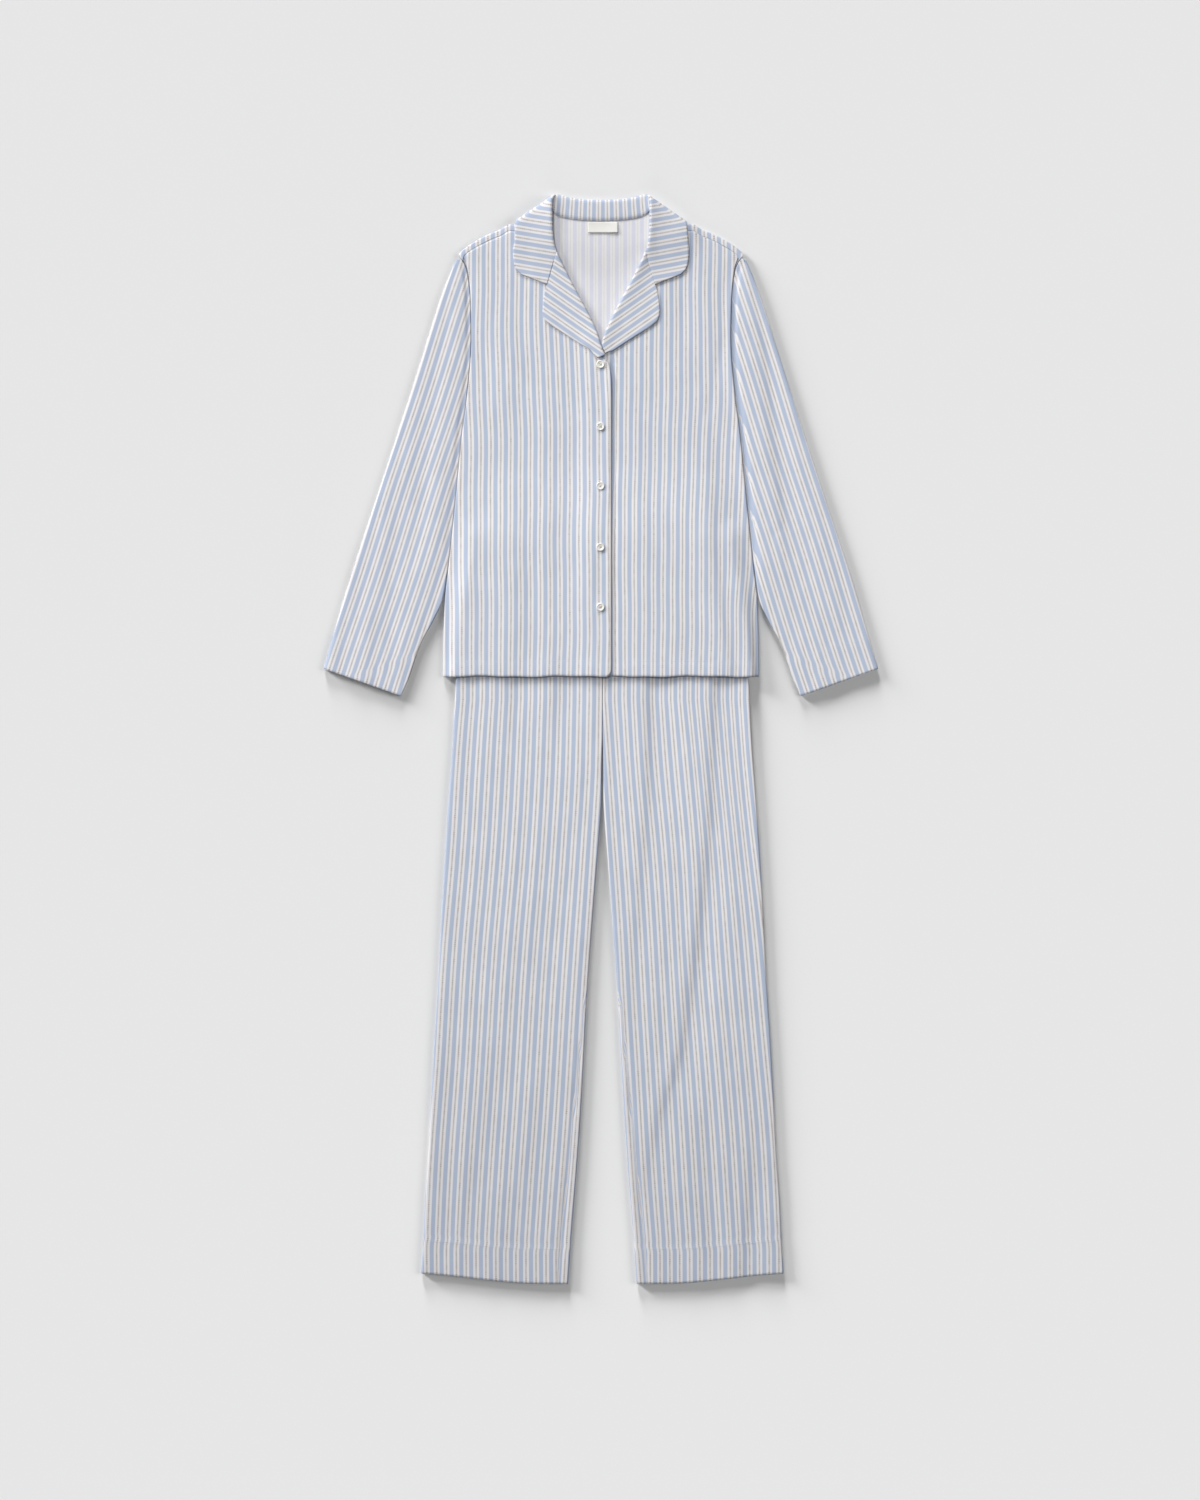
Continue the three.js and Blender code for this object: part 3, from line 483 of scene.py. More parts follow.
def turned_level(
    level: np.ndarray, partner: np.ndarray, turned: np.ndarray, hold: np.ndarray
) -> np.ndarray:
    """A panel's height where its edge turns at a seam towards the other panel."""
    seam = (level + partner) / 2 + np.where(level > partner, SEAM / 2, -SEAM / 2)
    return lerp(level, seam, turned * hold)


def edge_profile(length: np.ndarray, near: bool, far: bool, pitch: float) -> tuple:
    """Distances across a panel, dense at turned edges.

    Args:
        length: each row's length from edge to edge.
        near: whether the first edge turns.
        far: whether the last edge turns.
        pitch: the usual spacing.

    Returns:
        Distances (rows by columns) and how far each column has turned.
    """
    turn = np.minimum(TURN, 0.3 * length)[:, None]
    angles = np.linspace(0, math.pi / 2, 6)[1:]
    start = turn if near else 0 * turn
    end = length[:, None] - (turn if far else 0)
    count = max(int(round(float(length.max()) / pitch)), 4)
    shares = np.linspace(0, 1, count)[None, :]
    columns = [start + (end - start) * shares]
    turned = [np.zeros(count)]
    inset = lambda angle: turn - (turn - CLOTH / 2) * math.sin(angle)
    for angle in angles:
        if near:
            columns.insert(0, inset(angle))
            turned.insert(0, np.array([1 - math.cos(angle)]))
        if far:
            columns.append(length[:, None] - inset(angle))
            turned.append(np.array([1 - math.cos(angle)]))
    return np.hstack(columns), np.concatenate(turned)[None, :]


def to_painted_shade_band(number: np.ndarray, share: np.ndarray) -> np.ndarray:
    """Stripe numbers drawn by a share towards the nearest wide blue stripe, which paints shade as a dark band."""
    return number - share * (number - np.round(number))


@dataclass(frozen=True)
class StripeRun:
    """Where the stripes of a panel run: stripe numbers along measured lines.

    Args:
        heights: y of each measured row, falling or rising.
        lines: stripe number and its distance from the middle at each height.
        sign: 1 where the number grows outwards; not used.
    """

    heights: tuple
    lines: tuple

    def number(self, x: np.ndarray, y: np.ndarray) -> np.ndarray:
        """Returns the stripe number at places on the panel, whole at a blue stripe's middle."""
        order = np.argsort(self.heights)
        heights = np.asarray(self.heights, float)[order]
        known = [(n, Curve(heights, np.asarray(at, float)[order])(y)) for n, at in self.lines]
        result = np.zeros(np.broadcast(x, y).shape)
        for i, ((n0, a), (n1, b)) in enumerate(zip(known[:-1], known[1:])):
            here = n0 + (n1 - n0) * (x - a) / (b - a)
            inside = np.ones(result.shape, bool)
            if i > 0:
                inside &= x >= a
            if i < len(known) - 2:
                inside &= x < b
            result = np.where(inside, here, result)
        return result


RIGHT_FRONT_STRIPES = StripeRun(
    (628, 558, 502, 418, 334, 250, 166, 110),
    (
        (0, (3.8, 0.6, -2.2, -3.8, -4.6, -4.1, -4.1, -3.2)),
        (6, (84, 82.6, 80.2, 78.4, 77.7, 77.7, 77.8, 79.9)),
        (13, (177.7, 178.4, 177.9, 175.6, 175.1, 174.4, 174.2, 174.6)),
    ),
)
LEFT_FRONT_STRIPES = StripeRun(
    (628, 558, 502, 418, 334, 250, 166, 110),
    (
        (0, (32.1, 30.5, 28.6, 27.6, 27.2, 26.5, 26.2, 27)),
        (5, (99, 99, 98, 96, 95.2, 94.1, 92.8, 92.4)),
        (10, (165.9, 166.9, 167.7, 164.6, 162.1, 160.3, 160.3, 160)),
        (13, (206, 206.6, 207.1, 205.2, 202.6, 199.5, 194.5, 194.7)),
    ),
)
RIGHT_LEG_STRIPES = StripeRun(
    (54, -30, -156, -296, -436, -576, -716),
    (
        (0, (11.2, 12.8, 20.3, 29, 38.3, 46.9, 57)),
        (7, (107, 110.5, 118.1, 129.1, 138.5, 147.3, 155.3)),
        (13, (187.9, 194.4, 202.5, 213.3, 222.2, 231.9, 238)),
    ),
)
LEFT_LEG_STRIPES = StripeRun(
    (54, -30, -156, -296, -436, -576, -716),
    (
        (1, (10.5, 16.1, 24.2, 33.6, 41.3, 48.7, 59.9)),
        (5, (63.5, 68.1, 78.9, 88.6, 97, 105.2, 114.8)),
        (9, (114.9, 123.2, 133.4, 140.5, 151.7, 162.1, 171.9)),
        (13, (162.9, 169.8, 181.4, 194.6, 206.7, 218.1, 226.3)),
    ),
)


# ---- shader groups and finishes -------------------------------------------------------------


class Canvas:
    """Adds and links nodes in one tree."""

    def __init__(self, tree: bpy.types.NodeTree) -> None:
        """Keeps the tree that nodes go into."""
        self.tree = tree
        self.place = 0

    def add(self, kind: str, **settings: object) -> bpy.types.Node:
        """Adds a node.

        Args:
            kind: the node's type name.
            settings: its properties.

        Returns:
            The node.
        """
        node = self.tree.nodes.new(kind)
        node.location = (180 * (self.place % 9), -260 * (self.place // 9))
        self.place += 1
        for key, value in settings.items():
            setattr(node, key, value)
        return node

    def feed(self, source: object, target: bpy.types.NodeSocket) -> None:
        """Links a socket to target, or sets target to a plain value."""
        if isinstance(source, bpy.types.NodeSocket):
            self.tree.links.new(source, target)
        else:
            target.default_value = source

    def math(self, operation: str, *values: object) -> bpy.types.NodeSocket:
        """Adds a Math node on values and returns its result."""
        node = self.add("ShaderNodeMath", operation=operation)
        for i, value in enumerate(values):
            self.feed(value, node.inputs[i])
        return node.outputs[0]

    def step(self, value: object, low: object, high: object) -> bpy.types.NodeSocket:
        """A soft step from 0 at low to 1 at high."""
        node = self.add("ShaderNodeMapRange", interpolation_type="SMOOTHSTEP")
        for name, source in (("Value", value), ("From Min", low), ("From Max", high)):
            self.feed(source, node.inputs[name])
        return node.outputs["Result"]

    def mix(self, factor: object, a: object, b: object) -> bpy.types.NodeSocket:
        """Blends two colours and returns the result."""
        node = self.add("ShaderNodeMix", data_type="RGBA")
        self.feed(factor, node.inputs[0])
        self.feed(a, node.inputs[6])
        self.feed(b, node.inputs[7])
        return node.outputs[2]

    def noise(self, vector: object, scale: float, detail: float = 2.0) -> bpy.types.NodeSocket:
        """Adds a noise texture and returns its value."""
        node = self.add("ShaderNodeTexNoise")
        self.feed(vector, node.inputs["Vector"])
        node.inputs["Scale"].default_value = scale
        node.inputs["Detail"].default_value = detail
        return node.outputs["Fac"]


def shader_group(name: str, inputs: Sequence[tuple], outputs: Sequence[tuple]) -> tuple:
    """Starts a shader node group.

    Args:
        name: the group's name.
        inputs: rows of name, socket type and default.
        outputs: rows of name and socket type.

    Returns:
        The group, a canvas on it, its input node and its output node.
    """
    group = bpy.data.node_groups.new(name, "ShaderNodeTree")
    for label, kind, default in inputs:
        socket = group.interface.new_socket(label, in_out="INPUT", socket_type=kind)
        if default is not None:
            socket.default_value = default
    for label, kind in outputs:
        group.interface.new_socket(label, in_out="OUTPUT", socket_type=kind)
    canvas = Canvas(group)
    return group, canvas, canvas.add("NodeGroupInput"), canvas.add("NodeGroupOutput")


def stripe_group() -> bpy.types.NodeTree:
    """The woven stripe: a blue band, and a dotted pin line between two white bands.

    Returns:
        The group. Its vector's x counts repeats, and y runs along the stripe in repeats.
    """
    number, colour = "NodeSocketFloat", "NodeSocketColor"
    group, canvas, given, out = shader_group(
        "Woven stripe",
        [
            ("Vector", "NodeSocketVector", None),
            ("Ground", colour, (0.8, 0.8, 0.8, 1)),
            ("Band", colour, (0.4, 0.5, 0.7, 1)),
            ("Pin line", colour, (0.6, 0.55, 0.55, 1)),
            ("Dots", colour, (0.2, 0.15, 0.15, 1)),
            ("Band half width", number, 0.2),
            ("Pin half width", number, 0.06),
            ("Dot pitch", number, 0.215),
            ("Yarn wobble", number, 0.04),
        ],
        [("Color", colour), ("Band mask", number), ("Pin mask", number)],
    )
    vector = given.outputs["Vector"]
    parts = canvas.add("ShaderNodeSeparateXYZ")
    canvas.feed(vector, parts.inputs[0])
    drift = canvas.math("SUBTRACT", canvas.noise(vector, 9.0, 1.0), 0.5)
    across = canvas.math("ADD", parts.outputs[0], canvas.math("MULTIPLY", drift, given.outputs["Yarn wobble"]))
    share = canvas.math("FRACT", canvas.math("ADD", across, 0.5))
    away = canvas.math("ABSOLUTE", canvas.math("SUBTRACT", share, 0.5))
    half = given.outputs["Band half width"]
    band = canvas.step(away, canvas.math("ADD", half, 0.02), canvas.math("SUBTRACT", half, 0.02))
    pin_edge = canvas.math("SUBTRACT", 0.5, given.outputs["Pin half width"])
    pin = canvas.step(away, canvas.math("SUBTRACT", pin_edge, 0.02), canvas.math("ADD", pin_edge, 0.02))
    dash_edge = canvas.math("SUBTRACT", pin_edge, 0.03)
    wide = canvas.step(away, canvas.math("SUBTRACT", dash_edge, 0.015), canvas.math("ADD", dash_edge, 0.02))
    along = canvas.math("DIVIDE", parts.outputs[1], given.outputs["Dot pitch"])
    beat = canvas.math("ABSOLUTE", canvas.math("SUBTRACT", canvas.math("FRACT", along), 0.5))
    patches = canvas.step(canvas.noise(vector, 1.7, 2.0), 0.4, 0.62)
    strength = canvas.math("ADD", 0.55, canvas.math("MULTIPLY", patches, 0.45))
    dot = canvas.math("MULTIPLY", canvas.math("MULTIPLY", canvas.step(beat, 0.3, 0.17), wide), strength)
    fleck = canvas.step(canvas.noise(vector, 38.0, 1.5), 0.3, 0.7)
    band_fleck = canvas.math("MULTIPLY", band, canvas.math("ADD", canvas.math("MULTIPLY", fleck, 0.16), 0.84))
    colour_now = canvas.mix(band_fleck, given.outputs["Ground"], given.outputs["Band"])
    colour_now = canvas.mix(canvas.math("MULTIPLY", pin, 0.8), colour_now, given.outputs["Pin line"])
    colour_now = canvas.mix(dot, colour_now, given.outputs["Dots"])
    tick = canvas.math("MULTIPLY", canvas.math("MULTIPLY", band, canvas.step(beat, 0.4, 0.2)), 0.07)
    colour_now = canvas.mix(tick, colour_now, given.outputs["Pin line"])
    canvas.feed(colour_now, out.inputs["Color"])
    canvas.feed(band, out.inputs["Band mask"])
    canvas.feed(pin, out.inputs["Pin mask"])
    return group


def nap_group() -> bpy.types.NodeTree:
    """Brushed flannel: a fine twill under short fibres.

    Returns:
        The group, with a height for bumps and a slow mottle for colour.
    """
    number = "NodeSocketFloat"
    group, canvas, given, out = shader_group(
        "Brushed nap",
        [("Vector", "NodeSocketVector", None), ("Twill count", number, 11.0), ("Fibre", number, 0.6)],
        [("Height", number), ("Mottle", number)],
    )
    vector = given.outputs["Vector"]
    parts = canvas.add("ShaderNodeSeparateXYZ")
    canvas.feed(vector, parts.inputs[0])
    diagonal = canvas.math("ADD", parts.outputs[0], canvas.math("MULTIPLY", parts.outputs[1], 0.8))
    ribs = canvas.math("MULTIPLY", diagonal, given.outputs["Twill count"])
    twill = canvas.math("SINE", canvas.math("MULTIPLY", ribs, 6.2832))
    fibre = canvas.noise(vector, 26.0, 3.0)
    soft = canvas.noise(vector, 5.0, 2.0)
    height = canvas.math(
        "ADD",
        canvas.math("MULTIPLY", twill, 0.12),
        canvas.math("ADD", canvas.math("MULTIPLY", fibre, given.outputs["Fibre"]), canvas.math("MULTIPLY", soft, 0.5)),
    )
    canvas.feed(height, out.inputs["Height"])
    broad = canvas.math("MULTIPLY", canvas.noise(vector, 0.35, 2.0), 0.6)
    mottle = canvas.math("ADD", broad, canvas.math("MULTIPLY", fibre, 0.4))
    canvas.feed(mottle, out.inputs["Mottle"])
    return group


@dataclass(frozen=True)
class Finish:
    """What every finish has: its name and a way to start its material."""

    name: str

    def start(self) -> tuple:
        """Returns a new material, a canvas on it and its Principled shader."""
        material = bpy.data.materials.new(self.name)
        material.use_nodes = True
        canvas = Canvas(material.node_tree)
        shader = material.node_tree.nodes["Principled BSDF"]
        return material, canvas, shader


@dataclass(frozen=True)
class Flannel(Finish):
    """One face of the striped brushed cotton.

    Args:
        stripe: the woven stripe's group.
        nap: the brushed nap's group.
        ground: colour of the white yarn.
        band: colour of the wide stripe.
        pin: colour of the pin line.
        dots: colour of its dots.
        repeat: how many repeats fit one step of the map.
        pin_half: half width of the pin line.
        band_half: half width of the wide stripe.
        shift: how far the stripes lie to the side, in repeats.
        painted_rim_shade: how much painted shade darkens the cloth where it turns away.
        painted_rim_colour: the dark colour of that painted shade.
    """

    stripe: bpy.types.NodeTree
    nap: bpy.types.NodeTree
    ground: tuple
    band: tuple
    pin: tuple
    dots: tuple
    repeat: float = 1.0
    pin_half: float = 0.055
    band_half: float = 0.205
    shift: float = 0.0
    painted_rim_shade: float = 0.28
    painted_rim_colour: tuple = (0.15, 0.18, 0.28)

    def material(self) -> bpy.types.Material:
        """Returns the finish as a material that reads the piece's own map."""
        material, canvas, shader = self.start()
        place = canvas.add("ShaderNodeUVMap", uv_map="cloth")
        mapping = canvas.add("ShaderNodeMapping")
        canvas.feed(place.outputs[0], mapping.inputs["Vector"])
        mapping.inputs["Scale"].default_value = (self.repeat, 1, 1)
        mapping.inputs["Location"].default_value = (self.shift, 0, 0)
        weave = canvas.add("ShaderNodeGroup", node_tree=self.stripe)
        canvas.feed(mapping.outputs[0], weave.inputs["Vector"])
        for label, value in (
            ("Ground", self.ground),
            ("Band", self.band),
            ("Pin line", self.pin),
            ("Dots", self.dots),
        ):
            weave.inputs[label].default_value = (*value, 1)
        weave.inputs["Band half width"].default_value = self.band_half
        weave.inputs["Pin half width"].default_value = self.pin_half
        brushed = canvas.add("ShaderNodeGroup", node_tree=self.nap)
        canvas.feed(place.outputs[0], brushed.inputs["Vector"])
        tone = canvas.add("ShaderNodeHueSaturation")
        canvas.feed(weave.outputs["Color"], tone.inputs["Color"])
        value = canvas.add("ShaderNodeMapRange")
        canvas.feed(brushed.outputs["Mottle"], value.inputs["Value"])
        value.inputs["From Min"].default_value = 0.3
        value.inputs["From Max"].default_value = 0.7
        value.inputs["To Min"].default_value = 0.955
        value.inputs["To Max"].default_value = 1.03
        canvas.feed(value.outputs["Result"], tone.inputs["Value"])
        # Painted shade: the colour darkens towards dark blue where the surface turns edge-on to the view.
        turn = canvas.add("ShaderNodeLayerWeight")
        turn.inputs["Blend"].default_value = 0.5
        away = canvas.math("MULTIPLY", turn.outputs["Facing"], self.painted_rim_shade)
        shaded = canvas.mix(away, tone.outputs["Color"], (*self.painted_rim_colour, 1))
        canvas.feed(shaded, shader.inputs["Base Color"])
        bump = canvas.add("ShaderNodeBump")
        bump.inputs["Strength"].default_value = 0.35
        bump.inputs["Distance"].default_value = 0.0004
        sunk = canvas.math("MULTIPLY", weave.outputs["Pin mask"], 0.5)
        raised = canvas.math("SUBTRACT", brushed.outputs["Height"], sunk)
        canvas.feed(raised, bump.inputs["Height"])
        canvas.feed(bump.outputs[0], shader.inputs["Normal"])
        shader.inputs["Roughness"].default_value = 0.92
        shader.inputs["Specular IOR Level"].default_value = 0.18
        shader.inputs["Sheen Weight"].default_value = 0.08
        shader.inputs["Sheen Roughness"].default_value = 0.5
        return material


@dataclass(frozen=True)
class PlainThread(Finish):
    """Sewing thread or woven tape: one colour with a fine twist.

    Args:
        colour: the thread's colour.
        scale: how fine its twist is, per metre.
        roughness: how matt it is.
    """

    colour: tuple
    scale: float = 900.0
    roughness: float = 0.7

    def material(self) -> bpy.types.Material:
        """Returns the finish as a material on the piece's own coordinates."""
        material, canvas, shader = self.start()
        place = canvas.add("ShaderNodeTexCoord")
        grain = canvas.noise(place.outputs["Object"], self.scale, 2.0)
        darker = tuple(channel * 0.86 for channel in self.colour)
        canvas.feed(canvas.mix(grain, (*darker, 1), (*self.colour, 1)), shader.inputs["Base Color"])
        bump = canvas.add("ShaderNodeBump")
        bump.inputs["Strength"].default_value = 0.3
        bump.inputs["Distance"].default_value = 0.0002
        canvas.feed(grain, bump.inputs["Height"])
        canvas.feed(bump.outputs[0], shader.inputs["Normal"])
        shader.inputs["Roughness"].default_value = self.roughness
        return material


@dataclass(frozen=True)
class PearlResin(Finish):
    """The buttons' pale resin with a faint cloudy pearl."""

    light: tuple = (0.86, 0.85, 0.81)
    warm: tuple = (0.76, 0.73, 0.68)

    def material(self) -> bpy.types.Material:
        """Returns the finish as a material on the piece's own coordinates."""
        material, canvas, shader = self.start()
        place = canvas.add("ShaderNodeTexCoord")
        cloud = canvas.noise(place.outputs["Object"], 160.0, 3.0)
        pearl = canvas.mix(canvas.step(cloud, 0.4, 0.68), (*self.light, 1), (*self.warm, 1))
        canvas.feed(pearl, shader.inputs["Base Color"])
        fine = canvas.noise(place.outputs["Object"], 2400.0, 1.0)
        worn = canvas.add("ShaderNodeMapRange")
        canvas.feed(fine, worn.inputs["Value"])
        worn.inputs["To Min"].default_value = 0.24
        worn.inputs["To Max"].default_value = 0.4
        canvas.feed(worn.outputs["Result"], shader.inputs["Roughness"])
        shader.inputs["Coat Weight"].default_value = 0.25
        shader.inputs["Subsurface Weight"].default_value = 0.08
        shader.inputs["Subsurface Scale"].default_value = 0.002
        return material


@dataclass(frozen=True)
class StudioPaper(Finish):
    """The pale floor."""

    colour: tuple = (0.79, 0.79, 0.79)

    def material(self) -> bpy.types.Material:
        """Returns the floor's material."""
        material, canvas, shader = self.start()
        place = canvas.add("ShaderNodeTexCoord")
        grain = canvas.noise(place.outputs["Object"], 350.0, 3.0)
        darker = tuple(channel * 0.985 for channel in self.colour)
        canvas.feed(canvas.mix(grain, (*darker, 1), (*self.colour, 1)), shader.inputs["Base Color"])
        shader.inputs["Roughness"].default_value = 0.95
        shader.inputs["Specular IOR Level"].default_value = 0.1
        return material


@dataclass
class Wardrobe:
    """Every material, made once."""

    right: bpy.types.Material = field(init=False)
    wrong: bpy.types.Material = field(init=False)
    tape: bpy.types.Material = field(init=False)
    thread: bpy.types.Material = field(init=False)
    resin: bpy.types.Material = field(init=False)
    floor: bpy.types.Material = field(init=False)

    def __post_init__(self) -> None:
        """Builds the shared groups and the materials."""
        stripe, nap = stripe_group(), nap_group()
        self.right = Flannel(
            "striped_flannel", stripe, nap,
            ground=(0.805, 0.788, 0.802), band=(0.435, 0.515, 0.67),
            pin=(0.66, 0.635, 0.63), dots=(0.34, 0.30, 0.285),
        ).material()
        self.wrong = Flannel(
            "striped_flannel_wrong_side", stripe, nap,
            ground=(0.79, 0.785, 0.785), band=(0.67, 0.675, 0.775),
            pin=(0.74, 0.73, 0.73), dots=(0.70, 0.68, 0.69),
            repeat=1.17, pin_half=0.04, band_half=0.22, shift=0.12,
        ).material()
        self.tape = PlainThread("label_tape", (0.83, 0.82, 0.78), 1400.0, 0.6).material()
        self.thread = PlainThread("sewing_thread", (0.78, 0.79, 0.84)).material()
        self.button_thread = PlainThread("button_thread", (0.58, 0.52, 0.44)).material()
        self.resin = PearlResin("pearl_resin").material()
        self.floor = StudioPaper("studio_paper").material()

    def face(self, face: Face) -> bpy.types.Material:
        """Returns the material for one face of the cloth."""
        return self.right if face is Face.RIGHT else self.wrong


# ---- cloth shells ---------------------------------------------------------------------------


@dataclass
class Shell:
    """A closed cloth wall round a grid of middle points.

    Args:
        name: the piece's name.
        middle: rows by columns of points, in millimetres.
        stripes: rows by columns of stripe number and distance along, in repeats.
        wall: the cloth's thickness, one number or one for each point.
        upper: the face on the side of the grid's normal.
        lower: the other face.
        ring: whether each row closes on itself.
    """

    name: str
    middle: np.ndarray
    stripes: np.ndarray
    wall: float
    upper: Face = Face.RIGHT
    lower: Face = Face.WRONG
    ring: bool = False

    def normals(self) -> np.ndarray:
        """Returns the unit normal at each middle point, facing up, or outwards on a ring."""
        points = self.middle
        if self.ring:
            across = np.roll(points, -1, axis=1) - np.roll(points, 1, axis=1)
        else:
            across = np.gradient(points, axis=1)
        along = np.gradient(points, axis=0)
        normal = np.cross(across, along)
        normal /= np.maximum(np.linalg.norm(normal, axis=2, keepdims=True), 1e-9)
        if self.ring:
            outward = points - points.mean(axis=1, keepdims=True)
            facing = (normal * outward).sum()
        else:
            facing = normal[: len(normal) // 2, :, 2].sum()
        return normal if facing > 0 else -normal

    def build(self, wardrobe: Wardrobe) -> bpy.types.Object:
        """Makes the wall as a mesh with rounded rims.

        Args:
            wardrobe: the materials.

        Returns:
            The object, in metres, at the origin.
        """
        rows, columns = self.middle.shape[:2]
        normal = self.normals()
        half = np.broadcast_to(np.asarray(self.wall, float) / 2, (rows, columns))[..., None]
        layers = [self.middle + normal * half, self.middle - normal * half]
        index = np.arange(rows * columns).reshape(rows, columns)
        rims, rim_faces = [], []
        start = 2 * rows * columns
        if self.ring:
            loops = [(index[0], 0, 1), (index[-1], rows - 1, rows - 2)]
            for loop, row, inner in loops:
                outward = self.middle[row] - self.middle[inner]
                rims.append((loop, outward))
        else:
            border = np.concatenate([index[0, :-1], index[:-1, -1], index[-1, :0:-1], index[:0:-1, 0]])
            flat = self.middle.reshape(-1, 3)
            inner_row = np.clip(border // columns, 1, rows - 2)
            inner_column = np.clip(border % columns, 1, columns - 2)
            rims.append((border, flat[border] - flat[inner_row * columns + inner_column]))
        flat_normal = normal.reshape(-1, 3)
        flat_half = half.reshape(-1, 1)
        points = [layers[0].reshape(-1, 3), layers[1].reshape(-1, 3)]
        maps = [self.stripes.reshape(-1, 2)] * 2
        for loop, outward in rims:
            n = flat_normal[loop]
            outward = outward - n * (outward * n).sum(axis=1, keepdims=True)
            outward /= np.maximum(np.linalg.norm(outward, axis=1, keepdims=True), 1e-9)
            rim = self.middle.reshape(-1, 3)[loop] + outward * flat_half[loop] * 0.8
            points.append(rim)
            maps.append(self.stripes.reshape(-1, 2)[loop])
            rim_index = start + np.arange(len(loop))
            start += len(loop)
            after, loop_after = np.roll(rim_index, -1), np.roll(loop, -1)
            rim_faces.append((np.stack([loop, loop_after, after, rim_index], 1), 0))
            rim_faces.append(
                (np.stack([rim_index, after, loop_after + rows * columns, loop + rows * columns], 1), 1)
            )
        grid = np.concatenate([index, index[:, :1]], axis=1) if self.ring else index
        upper = np.stack([grid[:-1, :-1], grid[:-1, 1:], grid[1:, 1:], grid[1:, :-1]], -1).reshape(-1, 4)
        lower = upper[:, ::-1] + rows * columns
        faces = [(upper, 0), (lower, 1), *rim_faces]
        vertices = np.concatenate(points)
        quads = np.concatenate([quad for quad, _ in faces])
        slots = np.concatenate([np.full(len(quad), slot) for quad, slot in faces])
        return cloth_object(
            self.name, vertices, quads, slots, np.concatenate(maps),
            [wardrobe.face(self.upper), wardrobe.face(self.lower)],
        )


def cloth_object(
    name: str,
    vertices: np.ndarray,
    quads: np.ndarray,
    slots: np.ndarray,
    uv: np.ndarray,
    materials: Sequence[bpy.types.Material],
) -> bpy.types.Object:
    """Makes a smooth mesh object from arrays.

    Args:
        name: the piece's name.
        vertices: points in millimetres.
        quads: faces.
        slots: each face's material.
        uv: each vertex's place on the cloth map.
        materials: the mesh's materials.

    Returns:
        The object, in metres, with its faces pointing out.
    """
    mesh = bpy.data.meshes.new(name)
    metres = vertices * MM
    metres[:, 1] += SHIFT_Y * MM
    mesh.from_pydata(metres.tolist(), [], quads.tolist())
    for material in materials:
        mesh.materials.append(material)
    mesh.polygons.foreach_set("material_index", slots.astype(np.int32))
    mesh.polygons.foreach_set("use_smooth", np.ones(len(quads), bool))
    layer = mesh.uv_layers.new(name="cloth")
    corner = np.zeros(len(mesh.loops), np.int32)
    mesh.loops.foreach_get("vertex_index", corner)
    layer.data.foreach_set("uv", uv[corner].astype(np.float32).ravel())
    fresh = bmesh.new()
    fresh.from_mesh(mesh)
    bmesh.ops.recalc_face_normals(fresh, faces=fresh.faces)
    fresh.to_mesh(mesh)
    fresh.free()
    mesh.update()
    obj = bpy.data.objects.new(name, mesh)
    bpy.context.scene.collection.objects.link(obj)
    return obj


def dress(obj: bpy.types.Object, slot: str, *nodes: str) -> bpy.types.Object:
    """Puts a finished piece on the set's one body, in place of its plain solids.

    Args:
        obj: the piece.
        slot: the record's material slot; not used.
        nodes: the solids that it stands for.

    Returns:
        The piece.
    """
    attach(obj, "root")
    if nodes:
        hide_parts(*nodes)
    LOG.info("%s: %d faces", obj.name, len(obj.data.polygons))
    return obj


# ---- stitches -------------------------------------------------------------------------------


